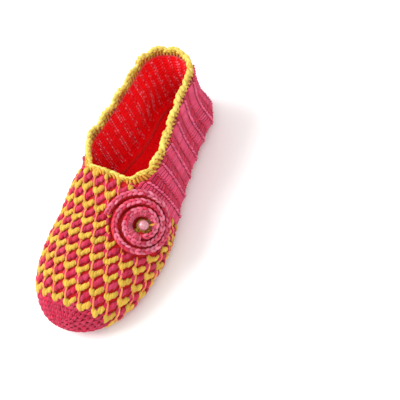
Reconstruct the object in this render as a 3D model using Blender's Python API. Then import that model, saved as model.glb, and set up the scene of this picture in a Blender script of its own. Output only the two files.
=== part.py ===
"""A crocheted house slipper for a left foot, built as a maker puts it together.

Metres, +Z up, +X towards the toe, +Y towards the outer side of the foot.
The origin is at the middle of the slipper's box, on the floor.

The outer form comes from one function. The widest outline of the slipper is walked
by columns. Each column is a profile in a vertical plane that runs from a point of
that outline inwards to the spine, which is the middle line of the foot. The profile
starts at the sole, bulges out to the outline and goes up, over the instep in the
forefoot and to the collar in the quarters.
"""

import math

import bmesh
import bpy
import numpy as np
from mathutils import Vector
from mathutils.bvhtree import BVHTree

MM = 0.001

# Driving dimensions of the last
LENGTH = 241 * MM
BALL_OUTER = 49.5 * MM
BALL_INNER = 48.5 * MM
HEEL_HALF = 29.5 * MM
INSTEP_HEIGHT = 62 * MM
TOE_HEIGHT = 50 * MM
WIDEST_AT_BALL = 15 * MM
WIDEST_AT_HEEL = 13 * MM
TOE_SWING = -2 * MM
HEEL_TUCK = 6 * MM
THROAT_SLANT = 4.5 * MM
THROAT_ROUNDING_OUTER = 13 * MM
THROAT_ROUNDING_INNER = 7 * MM

# Heights of the collar, as shares of the instep's height
THROAT_CORNER_SHARE = 0.911
SIDE_COLLAR_SHARE = 0.952
HEEL_COLLAR_SHARE = 1.065

# Places along the foot, as shares of the length from the heel
HEEL_PIVOT_SHARE = 0.14
THROAT_SHARE = 0.53
TOE_PIVOT_SHARE = 0.66
TOE_CAP_SHARE = 0.936

# Roundness of the toe's outline
TOE_POWER = 2.3

# Fabric
WALL = 3.0 * MM
PATTERN_RELIEF = 0.8 * MM
RIB_RELIEF = 1.3 * MM
RIB_COUNT = 15
TURN_UNDER = 6 * MM
TURN_UNDER_ANGLE = math.radians(60)

# Sole
SOLE_THICKNESS = 4.0 * MM
SOLE_MARGIN = 0.5 * MM
SOLE_ROUNDING = 1.5 * MM
TOE_SPRING = 4.0 * MM
ARCH_RISE = 2.5 * MM

# Scalloped edging of the collar
EDGING_THICKNESS = 3.4 * MM
EDGING_PLAIN = 4.5 * MM
EDGING_SCALLOP = 3.2 * MM

# Rosette and pearl
ROSETTE_RADIUS = 27.5 * MM
ROSETTE_TURNS = 2.75
ROSETTE_STRIP = 4.4 * MM
ROSETTE_HEIGHT = 8.5 * MM
ROSETTE_START = 8.2 * MM
ROSETTE_DRIFT = 3.5 * MM
ROSETTE_PLACE_SHARE = 0.631
ROSETTE_CLIMB_SHARE = 0.49
EYE_RADIUS = 5.4 * MM
EYE_THICKNESS = 3.4 * MM
PEARL_RADIUS = 4.1 * MM

# Clearance between pieces
GAP = 0.3 * MM
ROSETTE_GAP = 0.4 * MM
ROSETTE_REACH = 1.8 * MM

# Fineness of the faceted solids
RIB_STEPS = 6
VAMP_STEPS = 7
TOE_STEPS = 11
SIDE_LEVELS = 6
TURN_LEVELS = 4
TOP_LEVELS = 6
ROSETTE_STEPS_PER_TURN = 30
SEAT_TRIES = 40

# How far each side of the outline has spread from the heel's width (0) to the ball's (1)
SPREAD = (
    # along, outer, inner
    (HEEL_PIVOT_SHARE, 0.00, 0.00),
    (0.30, 0.14, 0.04),
    (0.45, 0.47, 0.52),
    (0.58, 0.86, 0.95),
    (TOE_PIVOT_SHARE, 1.00, 1.00),
)

# Where the spine lies, as a share of the inner ball's half width
SPINE = (
    # along, shift
    (HEEL_PIVOT_SHARE, 0.00),
    (0.40, -0.08),
    (THROAT_SHARE, -0.11),
    (TOE_PIVOT_SHARE, -0.06),
)

# Half width of the collar, as a share of the widest half width below it
WIDEST_LEAN_SHARE = 0.985
HEEL_BACK_LEAN_SHARE = 0.97
LEAN = (
    # along, outer, inner
    (HEEL_PIVOT_SHARE, 0.96, 0.82),
    (0.28, 0.97, 0.95),
    (0.42, 0.91, 0.98),
)

# How far the side of the heel is drawn in between its bulge and the collar, as a share
# of its half width
HEEL_PINCH_SHARE = 0.13
PINCH_END_SHARE = 0.40

# Roundness of the profiles: 1 would be a straight side and 2 an ellipse
ROUNDNESS = (
    # along, power
    (0.0, 1.15),
    (HEEL_PIVOT_SHARE, 1.2),
    (0.34, 1.9),
    (THROAT_SHARE, 2.55),
    (TOE_PIVOT_SHARE, 2.15),
)

PINK = (0.80, 0.06, 0.22)
YELLOW = (0.90, 0.62, 0.05)
PEARL = (0.85, 0.62, 0.66)


def smooth_through(table, column, at, start_slope=0.0, end_slope=0.0):
    """A smooth curve through one column of a table, whose first column is the place."""
    places = [row[0] for row in table]
    values = [row[column] for row in table]
    last = len(places) - 1
    slopes = [start_slope] + [
        (values[i + 1] - values[i - 1]) / (places[i + 1] - places[i - 1])
        for i in range(1, last)
    ] + [end_slope]
    i = min(max(int(np.searchsorted(places, at)) - 1, 0), last - 1)
    span = places[i + 1] - places[i]
    t = min(max((at - places[i]) / span, 0.0), 1.0)
    return (
        (2 * t**3 - 3 * t**2 + 1) * values[i]
        + (t**3 - 2 * t**2 + t) * span * slopes[i]
        + (3 * t**2 - 2 * t**3) * values[i + 1]
        + (t**3 - t**2) * span * slopes[i + 1]
    )


def smooth_step(t):
    t = min(max(t, 0.0), 1.0)
    return t * t * (3 - 2 * t)


def x_at(along):
    return (along - 0.5) * LENGTH


def along_of(x):
    return x / LENGTH + 0.5


def side_half_width(along, outer):
    """Half width of the outline on one side, between the two pivots."""
    ball = BALL_OUTER if outer else BALL_INNER
    spread = smooth_through(SPREAD, 1 if outer else 2, along)
    return HEEL_HALF + spread * (ball - HEEL_HALF)


def spine_y(along):
    return BALL_INNER * smooth_through(SPINE, 1, along)


def slant_at(along):
    """How far a column's outline point lies ahead of its spine point on the outer side."""
    if along < THROAT_SHARE:
        return THROAT_SLANT * smooth_step((along - HEEL_PIVOT_SHARE) / (THROAT_SHARE - HEEL_PIVOT_SHARE))
    return THROAT_SLANT * smooth_step((TOE_PIVOT_SHARE - along) / (TOE_PIVOT_SHARE - THROAT_SHARE))


def column_at(x, y, along):
    """A column: its outline point, then the spine point that it runs to."""
    return np.array([x, y, x_at(along), spine_y(along)])


def middle_column(along, outer):
    side = 1 if outer else -1
    x = x_at(along) + side * slant_at(along)
    return column_at(x, side * side_half_width(along_of(x), outer), along)


def heel_depth():
    """From the heel's pivot to its back, which is drawn in a little from the full length."""
    return HEEL_PIVOT_SHARE * LENGTH - HEEL_TUCK


def heel_column(turn, outer):
    """A column of the heel: turn is 0 at its side and 1 at its back."""
    angle = 0.5 * math.pi * turn
    side = 1 if outer else -1
    x = x_at(HEEL_PIVOT_SHARE) - heel_depth() * math.sin(angle)
    return column_at(x, side * HEEL_HALF * math.cos(angle), HEEL_PIVOT_SHARE)


def toe_column(turn, outer):
    """A column of the toe: turn is 0 at the ball and 1 at the tip."""
    angle = 0.5 * math.pi * turn
    forward = math.sin(angle) ** (2 / TOE_POWER)
    sideways = math.cos(angle) ** (2 / TOE_POWER)
    side = BALL_OUTER if outer else -BALL_INNER
    x = x_at(TOE_PIVOT_SHARE) + (1 - TOE_PIVOT_SHARE) * LENGTH * forward
    return column_at(x, side * sideways + TOE_SWING * forward**2, TOE_PIVOT_SHARE)


def evenly(columns, count):
    """The columns along this outline, at count equal steps of its length."""
    columns = np.array(columns)
    steps = np.linalg.norm(np.diff(columns[:, :2], axis=0), axis=1)
    lengths = np.concatenate([[0], np.cumsum(steps)])
    marks = np.linspace(0, lengths[-1], count + 1)
    return [np.array([np.interp(m, lengths, columns[:, k]) for k in range(4)]) for m in marks]


def quarter_columns(count):
    """Columns from the inner throat back round the heel to the outer throat."""
    fine = 60
    middle = [THROAT_SHARE + (HEEL_PIVOT_SHARE - THROAT_SHARE) * i / fine for i in range(fine + 1)]
    turns = [i / fine for i in range(1, fine + 1)]
    columns = [middle_column(a, False) for a in middle]
    columns += [heel_column(t, False) for t in turns]
    columns += [heel_column(t, True) for t in reversed(turns[:-1])]
    columns += [middle_column(a, True) for a in reversed(middle)]
    return evenly(columns, count)


def forefoot_columns(start, middle_count, toe_count):
    """Columns from the outer side at start forward round the toe to the inner side."""
    middle = [start + (TOE_PIVOT_SHARE - start) * i / middle_count for i in range(middle_count + 1)]
    turns = [i / toe_count for i in range(1, toe_count + 1)]
    columns = [middle_column(a, True) for a in middle]
    columns += [toe_column(t, True) for t in turns]
    columns += [toe_column(t, False) for t in reversed(turns[:-1])]
    columns += [middle_column(a, False) for a in reversed(middle)]
    return columns


def ground_rise(x, y):
    """How far the underside is off the floor: toe spring, and the arch on the inner side."""
    along = along_of(x)
    spring = TOE_SPRING * smooth_step((along - 0.84) / 0.18) ** 1.5
    waist = smooth_step((along - 0.26) / 0.14) * smooth_step((0.62 - along) / 0.14)
    inner = smooth_step((-y - 0.1 * BALL_INNER) / (0.6 * BALL_INNER))
    return spring + ARCH_RISE * waist * inner


def widest_height(along):
    risen = smooth_step((along - HEEL_PIVOT_SHARE) / 0.5)
    return WIDEST_AT_HEEL + (WIDEST_AT_BALL - WIDEST_AT_HEEL) * risen


def collar_height(along):
    table = (
        (HEEL_PIVOT_SHARE, HEEL_COLLAR_SHARE * INSTEP_HEIGHT),
        (0.40, SIDE_COLLAR_SHARE * INSTEP_HEIGHT),
        (THROAT_SHARE, THROAT_CORNER_SHARE * INSTEP_HEIGHT),
    )
    return smooth_through(table, 1, along)


def crown_ratio(share, power):
    """Height share of the crown's curve at a width share, or the other way about."""
    return (1 - share**power) ** (1 / power)


def instep_height(along):
    """Height of the top of the foot over the spine, from the throat to the toe."""
    forward = (min(along, TOE_PIVOT_SHARE) - THROAT_SHARE) / (TOE_PIVOT_SHARE - THROAT_SHARE)
    return INSTEP_HEIGHT + (TOE_HEIGHT - INSTEP_HEIGHT) * (0.65 * forward + 0.35 * smooth_step(forward))


def crown(column):
    """The crown's curve on a column: its lowest and highest height and its power."""
    along = along_of(column[2])
    low = widest_height(along)
    power = smooth_through(ROUNDNESS, 1, along)
    if along > THROAT_SHARE - 1e-6:
        return low, instep_height(along), power
    throat_low = widest_height(THROAT_SHARE)
    corner = (THROAT_CORNER_SHARE * INSTEP_HEIGHT - throat_low) / (INSTEP_HEIGHT - throat_low)
    throat_lean = crown_ratio(corner, smooth_through(ROUNDNESS, 1, THROAT_SHARE))
    table = LEAN + ((THROAT_SHARE, throat_lean, throat_lean),)
    outer, inner = (smooth_through(table, side, along, end_slope=-3.6) for side in (1, 2))
    lean = outer if column[1] > 0 else inner
    if along < HEEL_PIVOT_SHARE + 1e-6:
        lean = inner + (outer - inner) * smooth_step(0.5 + 0.5 * column[1] / HEEL_HALF)
        lean += (HEEL_BACK_LEAN_SHARE - lean) * smooth_step((x_at(along) - column[0]) / heel_depth())
    lean = min(lean, WIDEST_LEAN_SHARE)
    return low, low + (collar_height(along) - low) / crown_ratio(lean, power), power


def collar_angle(column):
    """Angle along the crown's curve at which the collar, or its line ahead, lies.

    Next to the throat the collar climbs, so that the opening's corners are round.
    """
    along = min(along_of(column[2]), THROAT_SHARE)
    at = np.array([*column[:2], x_at(along), 0.0])
    low, high, power = crown(at)
    angle = math.asin(((collar_height(along) - low) / (high - low)) ** (power / 2))
    radius = THROAT_ROUNDING_OUTER if column[1] > 0 else THROAT_ROUNDING_INNER
    left = max(radius - (THROAT_SHARE - along) * LENGTH, 0.0)
    climb = radius - math.sqrt(radius**2 - left**2)
    reach = np.linalg.norm(column[2:] - column[:2]) * math.cos(angle) ** (2 / power)
    return angle + (0.5 * math.pi - angle) * climb / reach


def profile_point(column, angle):
    """A point of the outer form above the widest line: 0 is the line, 90 degrees the spine."""
    base, spine = column[:2], column[2:]
    low, high, power = crown(column)
    along = along_of(column[2])
    height = (high - low) * math.sin(angle) ** (2 / power)
    out = math.cos(angle) ** (2 / power)
    if along < PINCH_END_SHARE:
        climb = height / (collar_height(along) - low)
        fade = smooth_step((PINCH_END_SHARE - along) / (PINCH_END_SHARE - HEEL_PIVOT_SHARE))
        out -= HEEL_PINCH_SHARE * fade * math.sin(math.pi * min(climb, 1.0)) ** 1.5
    return np.array([*(spine + (base - spine) * out), low + height])


def turned_under(column, amount):
    """The outline's point drawn in towards the spine by an amount."""
    inward = column[2:] - column[:2]
    return column[:2] + inward * amount / np.linalg.norm(inward)


def seam_height(point):
    """Where the upper meets the sole."""
    return ground_rise(*point) + SOLE_THICKNESS + GAP


def under_point(column, share):
    """A point of the outer form below the widest line: share 0 is the line, 1 the seam."""
    angle = TURN_UNDER_ANGLE * share
    amount = TURN_UNDER * (1 - math.cos(angle)) / (1 - math.cos(TURN_UNDER_ANGLE))
    flat = turned_under(column, amount)
    low = seam_height(turned_under(column, TURN_UNDER))
    high = widest_height(along_of(column[2]))
    return np.array([*flat, high + (low - high) * math.sin(angle) / math.sin(TURN_UNDER_ANGLE)])


def side_points(column):
    """Points from the seam up to the collar's line."""
    limit = collar_angle(column)
    low = [under_point(column, 1 - i / TURN_LEVELS) for i in range(TURN_LEVELS)]
    return low + [profile_point(column, limit * i / SIDE_LEVELS) for i in range(SIDE_LEVELS + 1)]


def top_points(column):
    """Points from above the collar's line up to, and not including, the spine."""
    limit = collar_angle(column)
    steps = [i / TOP_LEVELS for i in range(1, TOP_LEVELS)]
    return [profile_point(column, limit + (0.5 * math.pi - limit) * t) for t in steps]


def new_object(name, mesh, colour, roughness=0.9, metallic=0.0):
    material = bpy.data.materials.new(name)
    material.use_nodes = True
    shader = material.node_tree.nodes["Principled BSDF"]
    shader.inputs["Base Color"].default_value = (*colour, 1.0)
    shader.inputs["Roughness"].default_value = roughness
    shader.inputs["Metallic"].default_value = metallic
    mesh.materials.append(material)
    mesh.shade_smooth()
    mesh.set_sharp_from_angle(angle=math.radians(50))
    obj = bpy.data.objects.new(name, mesh)
    bpy.context.scene.collection.objects.link(obj)
    return obj


def mesh_of(name, points, faces):
    mesh = bpy.data.meshes.new(name)
    mesh.from_pydata([tuple(p) for p in points], [], faces)
    mesh.update()
    return mesh


def outward_mesh(name, points, faces):
    """A closed mesh with its faces turned out and its long quads cut into triangles."""
    mesh = mesh_of(name, points, faces)
    work = bmesh.new()
    work.from_mesh(mesh)
    bmesh.ops.recalc_face_normals(work, faces=work.faces)
    work.to_mesh(mesh)
    work.free()
    return mesh


class UpperSheet:
    """The upper's outer form as a grid: points, faces and the rims of its openings."""

    def __init__(self):
        self.fore = forefoot_columns(THROAT_SHARE, VAMP_STEPS, TOE_STEPS)
        quarter = quarter_columns(RIB_COUNT * RIB_STEPS)[1:-1]
        self.points = []
        self.faces = []
        self.columns = [self.add(side_points(c)) for c in self.fore + quarter]
        self.top = [self.add(top_points(c)) for c in self.fore]
        middle = self.fore[: VAMP_STEPS + 1]
        self.spine = self.add([profile_point(c, 0.5 * math.pi) for c in middle])
        self.join_sides()
        self.join_top()

    def add(self, points):
        first = len(self.points)
        self.points += points
        return list(range(first, len(self.points)))

    def spine_of(self, column):
        """The spine's point that a forefoot column runs to."""
        mirrored = len(self.fore) - 1 - column
        return self.spine[min(column, mirrored, VAMP_STEPS)]

    def join_sides(self):
        count = len(self.columns)
        for j in range(count):
            here, there = self.columns[j], self.columns[(j + 1) % count]
            for k in range(len(here) - 1):
                self.faces.append((here[k], here[k + 1], there[k + 1], there[k]))

    def join_top(self):
        for j in range(len(self.fore) - 1):
            here = [self.columns[j][-1], *self.top[j], self.spine_of(j)]
            there = [self.columns[j + 1][-1], *self.top[j + 1], self.spine_of(j + 1)]
            for k in range(len(here) - 1):
                face = (here[k], here[k + 1], there[k + 1], there[k])
                self.faces.append(tuple(dict.fromkeys(face)))

    def collar_rim(self):
        """The opening's rim: along the throat to the inner side, then round the heel."""
        last = len(self.fore) - 1
        outer = [self.columns[0][-1], *self.top[0]]
        inner = [*reversed(self.top[last]), self.columns[last][-1]]
        around = [c[-1] for c in self.columns[last + 1 :]]
        return outer + [self.spine[0]] + inner + around

    def seam_rim(self):
        return [column[0] for column in self.columns]

    def rib_relief(self, column):
        """Ridges of the ribbed quarters, one at the middle of each rib."""
        step = column - (len(self.fore) - 1)
        if step <= 0:
            return 0.0
        return RIB_RELIEF * (0.5 + 0.5 * math.cos(2 * math.pi * (step / RIB_STEPS - 0.5))) ** 2

    def reliefs(self):
        """How far each point of the outside stands off the plain sheet."""
        relief = [0.0] * len(self.points)
        for j, column in enumerate(self.columns):
            for k, i in enumerate(column):
                height = smooth_step(k / TURN_LEVELS)
                relief[i] = self.rib_relief(j) * height
        cap = x_at(TOE_CAP_SHARE)
        forefoot = [self.spine, *self.top, *self.columns[: len(self.fore)]]
        for i in {i for row in forefoot for i in row}:
            fade = smooth_step((cap - self.points[i][0]) / (0.04 * LENGTH))
            lift = smooth_step((self.points[i][2] - SOLE_THICKNESS) / WIDEST_AT_BALL)
            relief[i] = PATTERN_RELIEF * fade * lift
        return relief


def normals_of(points, faces):
    """Normals at the points of an open sheet."""
    mesh = mesh_of("sheet", points, faces)
    normals = np.array([tuple(v.vector) for v in mesh.vertex_normals])
    bpy.data.meshes.remove(mesh)
    return normals


def thick_sheet(name, sheet, reliefs, wall):
    """The sheet made into a wall: its outside, its inside and the strips at both rims."""
    points = np.array(sheet.points)
    normals = normals_of(points, sheet.faces)
    outside = points + normals * np.array(reliefs)[:, None]
    inside = points - normals * wall
    for i in sheet.seam_rim():
        level = normals[i] * (1, 1, 0)
        inside[i] = points[i] - level / np.linalg.norm(level) * wall
        outside[i] = points[i]
    count = len(points)
    faces = list(sheet.faces) + [tuple(i + count for i in reversed(f)) for f in sheet.faces]
    for rim in (sheet.collar_rim(), sheet.seam_rim()):
        for a, b in zip(rim, rim[1:] + rim[:1]):
            faces.append((a, b, b + count, a + count))
    return outward_mesh(name, np.vstack([outside, inside]), faces)


def make_upper(sheet):
    mesh = thick_sheet("upper", sheet, sheet.reliefs(), WALL)
    return new_object("upper", mesh, PINK)


def sole_levels(column):
    """The sole's section on one column, from the underside's middle round to the top's."""
    edge = turned_under(column, TURN_UNDER - SOLE_MARGIN)
    spine = column[2:]
    reach = np.linalg.norm(edge - spine)
    inner = 1 - SOLE_ROUNDING / reach
    shares = (
        # share of the way out, share of the thickness
        (0.45, 0.0),
        (0.80, 0.0),
        (inner, 0.0),
        (1.0, 0.35),
        (1.0, 0.70),
        (inner, 1.0),
        (0.80, 1.0),
        (0.45, 1.0),
    )
    points = []
    for out, up in shares:
        flat = spine + (edge - spine) * out
        points.append(np.array([*flat, ground_rise(*flat) + SOLE_THICKNESS * up]))
    return points


def make_sole():
    """The crocheted sole: a panel with the foot's outline, its arch and its toe spring."""
    middle_count, toe_count, heel_count = 18, 12, 10
    heel = [i / heel_count for i in range(1, heel_count + 1)]
    bases = forefoot_columns(HEEL_PIVOT_SHARE, middle_count, toe_count)
    bases += [heel_column(t, False) for t in heel]
    bases += [heel_column(t, True) for t in reversed(heel[:-1])]
    points, columns = [], []
    for base in bases:
        levels = sole_levels(base)
        columns.append(list(range(len(points), len(points) + len(levels))))
        points += levels
    spine = []
    for base in bases[: middle_count + 1]:
        rise = ground_rise(*base[2:])
        spine.append((len(points), len(points) + 1))
        points += [np.array([*base[2:], rise]), np.array([*base[2:], rise + SOLE_THICKNESS])]

    def spine_of(column):
        mirrored = middle_count * 2 + toe_count * 2 - column
        return spine[max(min(column, mirrored, middle_count), 0)]

    faces = []
    count = len(bases)
    for j in range(count):
        here, there = columns[j], columns[(j + 1) % count]
        low, high = spine_of(j)
        next_low, next_high = spine_of((j + 1) % count)
        ring = [low, *here, high]
        next_ring = [next_low, *there, next_high]
        for k in range(len(ring) - 1):
            face = (ring[k], next_ring[k], next_ring[k + 1], ring[k + 1])
            faces.append(tuple(dict.fromkeys(face)))
    return new_object("sole", outward_mesh("sole", points, faces), PINK)


def smoothed_ring(values, rounds):
    """A closed row of vectors, each averaged with its neighbours."""
    for _ in range(rounds):
        values = 0.5 * values + 0.25 * (np.roll(values, 1, axis=0) + np.roll(values, -1, axis=0))
    return values


def unit(vectors):
    return vectors / np.linalg.norm(vectors, axis=1)[:, None]


def make_edging(sheet):
    """The scalloped band round the opening: plain along the throat, a shell for each rib."""
    rim = sheet.collar_rim()
    points = np.array(sheet.points)
    normals = normals_of(points, sheet.faces)
    normal = unit(smoothed_ring(normals[rim], 2))
    path = points[rim] - normals[rim] * WALL / 2
    tangent = np.roll(path, -1, axis=0) - np.roll(path, 1, axis=0)
    tangent = unit(smoothed_ring(tangent, 1))
    outwards = unit(np.cross(tangent, normal))
    throat_count = 2 * TOP_LEVELS
    section = (
        # share of the half thickness, share of the height
        (-1.0, 0.0),
        (-1.0, 0.75),
        (-0.5, 1.0),
        (0.5, 1.0),
        (1.0, 0.75),
        (1.0, 0.0),
    )
    made = []
    for i in range(len(rim)):
        shell = 0.0
        if i > throat_count:
            shell = abs(math.sin(math.pi * (i - throat_count) / RIB_STEPS)) ** 0.8
        height = EDGING_PLAIN + EDGING_SCALLOP * shell
        for across, up in section:
            lift = outwards[i] * (GAP + height * up)
            made.append(path[i] + lift + normal[i] * across * EDGING_THICKNESS / 2)
    size = len(section)
    faces = []
    for i in range(len(rim)):
        j = (i + 1) % len(rim)
        for k in range(size):
            n = (k + 1) % size
            faces.append((i * size + k, j * size + k, j * size + n, i * size + n))
    return new_object("collar_edging", outward_mesh("collar_edging", made, faces), YELLOW)


class RosetteFrame:
    """The place of the rosette on the outer side: its centre, its axes and the surface below."""

    def __init__(self, sheet):
        column = middle_column(ROSETTE_PLACE_SHARE, True)
        next_column = middle_column(ROSETTE_PLACE_SHARE + 0.02, True)
        climb = 0.5 * math.pi * ROSETTE_CLIMB_SHARE
        centre = profile_point(column, climb)
        nearby = profile_point(column, climb + 0.01 * math.pi)
        ahead = profile_point(next_column, climb)
        self.forward = (ahead - centre) / np.linalg.norm(ahead - centre)
        normal = np.cross(nearby - centre, self.forward)
        self.normal = normal / np.linalg.norm(normal)
        self.side = np.cross(self.normal, self.forward)
        self.centre = centre
        reliefs = np.array(sheet.reliefs())[:, None]
        points = np.array(sheet.points) + normals_of(np.array(sheet.points), sheet.faces) * reliefs
        self.tree = BVHTree.FromPolygons([tuple(p) for p in points], [tuple(f) for f in sheet.faces])

    def flat(self, radius, angle):
        across = self.forward * math.cos(angle) + self.side * math.sin(angle)
        return self.centre + across * radius

    def surface(self, radius, angle):
        """Height of the upper under a point of the rosette's plane, or of its rim beyond it."""
        for inward in range(SEAT_TRIES):
            within = radius * (1 - inward / SEAT_TRIES)
            start = self.flat(within, angle) + self.normal * ROSETTE_RADIUS
            hit = self.tree.ray_cast(Vector(start), Vector(-self.normal))
            if hit[0] is not None:
                return ROSETTE_RADIUS - hit[3]
        return 0.0

    def seat(self, radius, angle):
        """Height of the highest knit close to this point, with the clearance above it."""
        turn = ROSETTE_REACH / max(radius, ROSETTE_REACH)
        around = ((0, 0), (-1, 0), (1, 0), (0, -1), (0, 1))
        heights = [
            self.surface(abs(radius + a * ROSETTE_REACH), angle + b * turn)
            for a, b in around
        ]
        return max(heights) + ROSETTE_GAP

    def place(self, radius, angle, height):
        return self.flat(radius, angle) + self.normal * height


def drifted(radius, angle, share):
    """Place of the spiral, whose turns drift towards the instep on their way out."""
    forward, side = radius * math.cos(angle), radius * math.sin(angle) - ROSETTE_DRIFT * share
    return math.hypot(forward, side), math.atan2(side, forward)


def make_rosette(frame):
    """A crocheted strip wound into a spiral, standing on its edge, flatter at the outside."""
    steps = int(ROSETTE_TURNS * ROSETTE_STEPS_PER_TURN)
    first = ROSETTE_START
    last = ROSETTE_RADIUS - ROSETTE_STRIP / 2
    section = (
        # share of the half strip, share of the height
        (-1.0, 0.0),
        (-1.0, 0.7),
        (-0.5, 1.0),
        (0.5, 1.0),
        (1.0, 0.7),
        (1.0, 0.0),
    )
    points = []
    for i in range(steps + 1):
        share = i / steps
        angle = 2 * math.pi * ROSETTE_TURNS * share
        middle = first + (last - first) * share
        floor = frame.seat(*drifted(middle, angle, share))
        for across, up in section:
            spot = drifted(middle + across * ROSETTE_STRIP / 2, angle, share)
            if up == 0.0:
                points.append(frame.place(*spot, frame.seat(*spot)))
            else:
                height = ROSETTE_HEIGHT * (1 - 0.18 * share) * up
                points.append(frame.place(*spot, floor + height))
    size = len(section)
    faces = [tuple(range(size)), tuple(range(steps * size, (steps + 1) * size))]
    for i in range(steps):
        for k in range(size):
            n = (k + 1) % size
            here, there = i * size, (i + 1) * size
            faces.append((here + k, there + k, there + n, here + n))
    return new_object("rosette", outward_mesh("rosette", points, faces), PINK)


def make_eye(frame):
    """The small yellow crocheted disc in the rosette's middle, which carries the pearl."""
    count = 16
    rings = (
        # share of the radius, share of the thickness
        (1.0, 0.0),
        (1.0, 0.6),
        (0.75, 1.0),
    )
    points = []
    for out, up in rings:
        for i in range(count):
            angle = 2 * math.pi * i / count
            floor = frame.surface(EYE_RADIUS * out, angle) if up == 0.0 else 0.0
            points.append(frame.place(EYE_RADIUS * out, angle, floor + ROSETTE_GAP + EYE_THICKNESS * up))
    points.append(frame.place(0.0, 0.0, ROSETTE_GAP + frame.surface(0.0, 0.0)))
    points.append(frame.place(0.0, 0.0, ROSETTE_GAP + EYE_THICKNESS))
    bottom, top = len(points) - 2, len(points) - 1
    faces = []
    for i in range(count):
        j = (i + 1) % count
        faces.append((bottom, j, i))
        for ring in range(len(rings) - 1):
            low, high = ring * count, (ring + 1) * count
            faces.append((low + i, low + j, high + j, high + i))
        last = (len(rings) - 1) * count
        faces.append((last + i, last + j, top))
    return new_object("rosette_eye", outward_mesh("rosette_eye", points, faces), YELLOW)


def make_pearl(frame):
    work = bmesh.new()
    bmesh.ops.create_icosphere(work, subdivisions=3, radius=PEARL_RADIUS)
    mesh = bpy.data.meshes.new("pearl")
    work.to_mesh(mesh)
    work.free()
    obj = new_object("pearl", mesh, PEARL, roughness=0.2)
    obj.location = frame.place(0.0, 0.0, ROSETTE_GAP + EYE_THICKNESS + GAP + PEARL_RADIUS)
    return obj


def centre_on_floor(objects):
    """Move the pieces together, so that the middle of their box is over the origin."""
    points = np.array([tuple(o.location + v.co) for o in objects for v in o.data.vertices])
    middle = 0.5 * (points.min(axis=0) + points.max(axis=0))
    for obj in objects:
        obj.location -= Vector((middle[0], middle[1], 0.0))


def main():
    for obj in list(bpy.data.objects):
        bpy.data.objects.remove(obj)
    sheet = UpperSheet()
    frame = RosetteFrame(sheet)
    pieces = [
        make_upper(sheet),
        make_sole(),
        make_edging(sheet),
        make_rosette(frame),
        make_eye(frame),
        make_pearl(frame),
    ]
    centre_on_floor(pieces)


main()
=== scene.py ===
"""Looks of the crocheted slipper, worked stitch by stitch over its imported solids.

Metres, +X towards the toe, +Y towards the outer side of the left foot, +Z up.
The form's functions and sizes are those of the solids. Maps over the form give the place
and the normal of any point of the fabric from two lengths along it, and the stitches are
short strands of yarn that are laid out on those maps.
"""

import math

import bpy
import numpy as np
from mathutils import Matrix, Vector
from mathutils.bvhtree import BVHTree


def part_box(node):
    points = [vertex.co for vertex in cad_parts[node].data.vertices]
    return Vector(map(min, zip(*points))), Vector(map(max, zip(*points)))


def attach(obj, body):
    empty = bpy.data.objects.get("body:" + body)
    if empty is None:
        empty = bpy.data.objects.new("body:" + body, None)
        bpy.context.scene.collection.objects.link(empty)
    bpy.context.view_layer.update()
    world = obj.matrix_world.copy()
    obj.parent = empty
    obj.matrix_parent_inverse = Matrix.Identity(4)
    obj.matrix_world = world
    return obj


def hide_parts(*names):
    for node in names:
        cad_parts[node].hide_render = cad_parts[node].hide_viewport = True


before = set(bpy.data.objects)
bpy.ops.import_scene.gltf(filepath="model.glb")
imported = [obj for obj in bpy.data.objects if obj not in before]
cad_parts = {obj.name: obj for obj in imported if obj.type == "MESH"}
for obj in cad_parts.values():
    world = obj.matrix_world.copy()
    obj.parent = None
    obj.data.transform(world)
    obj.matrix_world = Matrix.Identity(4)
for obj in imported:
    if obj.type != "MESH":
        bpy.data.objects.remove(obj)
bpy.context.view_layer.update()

MM = 0.001
RANDOM = np.random.default_rng(7)

# Sizes of the form, as in the solids
LENGTH = 241 * MM
BALL_OUTER = 49.5 * MM
BALL_INNER = 48.5 * MM
HEEL_HALF = 29.5 * MM
INSTEP_HEIGHT = 62 * MM
TOE_HEIGHT = 50 * MM
WIDEST_AT_BALL = 15 * MM
WIDEST_AT_HEEL = 13 * MM
TOE_SWING = -2 * MM
HEEL_TUCK = 6 * MM
THROAT_SLANT = 4.5 * MM
THROAT_ROUNDING_OUTER = 13 * MM
THROAT_ROUNDING_INNER = 7 * MM
THROAT_CORNER_SHARE = 0.911
SIDE_COLLAR_SHARE = 0.952
HEEL_COLLAR_SHARE = 1.065
HEEL_PIVOT_SHARE = 0.14
THROAT_SHARE = 0.53
TOE_PIVOT_SHARE = 0.66
TOE_POWER = 2.3
WALL = 3.0 * MM
RIB_RELIEF = 1.3 * MM
RIB_COUNT = 15
TURN_UNDER = 6 * MM
TURN_UNDER_ANGLE = math.radians(60)
SOLE_THICKNESS = 4.0 * MM
SOLE_MARGIN = 0.5 * MM
TOE_SPRING = 4.0 * MM
ARCH_RISE = 2.5 * MM
EDGING_THICKNESS = 3.4 * MM
EDGING_PLAIN = 4.5 * MM
EDGING_SCALLOP = 3.2 * MM
ROSETTE_RADIUS = 27.5 * MM
ROSETTE_TURNS = 2.75
ROSETTE_STRIP = 4.4 * MM
ROSETTE_HEIGHT = 8.5 * MM
ROSETTE_START = 8.2 * MM
ROSETTE_DRIFT = 3.5 * MM
ROSETTE_PLACE_SHARE = 0.631
ROSETTE_CLIMB_SHARE = 0.49
EYE_RADIUS = 5.4 * MM
EYE_THICKNESS = 3.4 * MM
PEARL_RADIUS = 4.1 * MM
GAP = 0.3 * MM
ROSETTE_GAP = 0.4 * MM
WIDEST_LEAN_SHARE = 0.985
HEEL_BACK_LEAN_SHARE = 0.97
HEEL_PINCH_SHARE = 0.13
PINCH_END_SHARE = 0.40
HEEL_DEPTH = HEEL_PIVOT_SHARE * LENGTH - HEEL_TUCK
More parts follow.
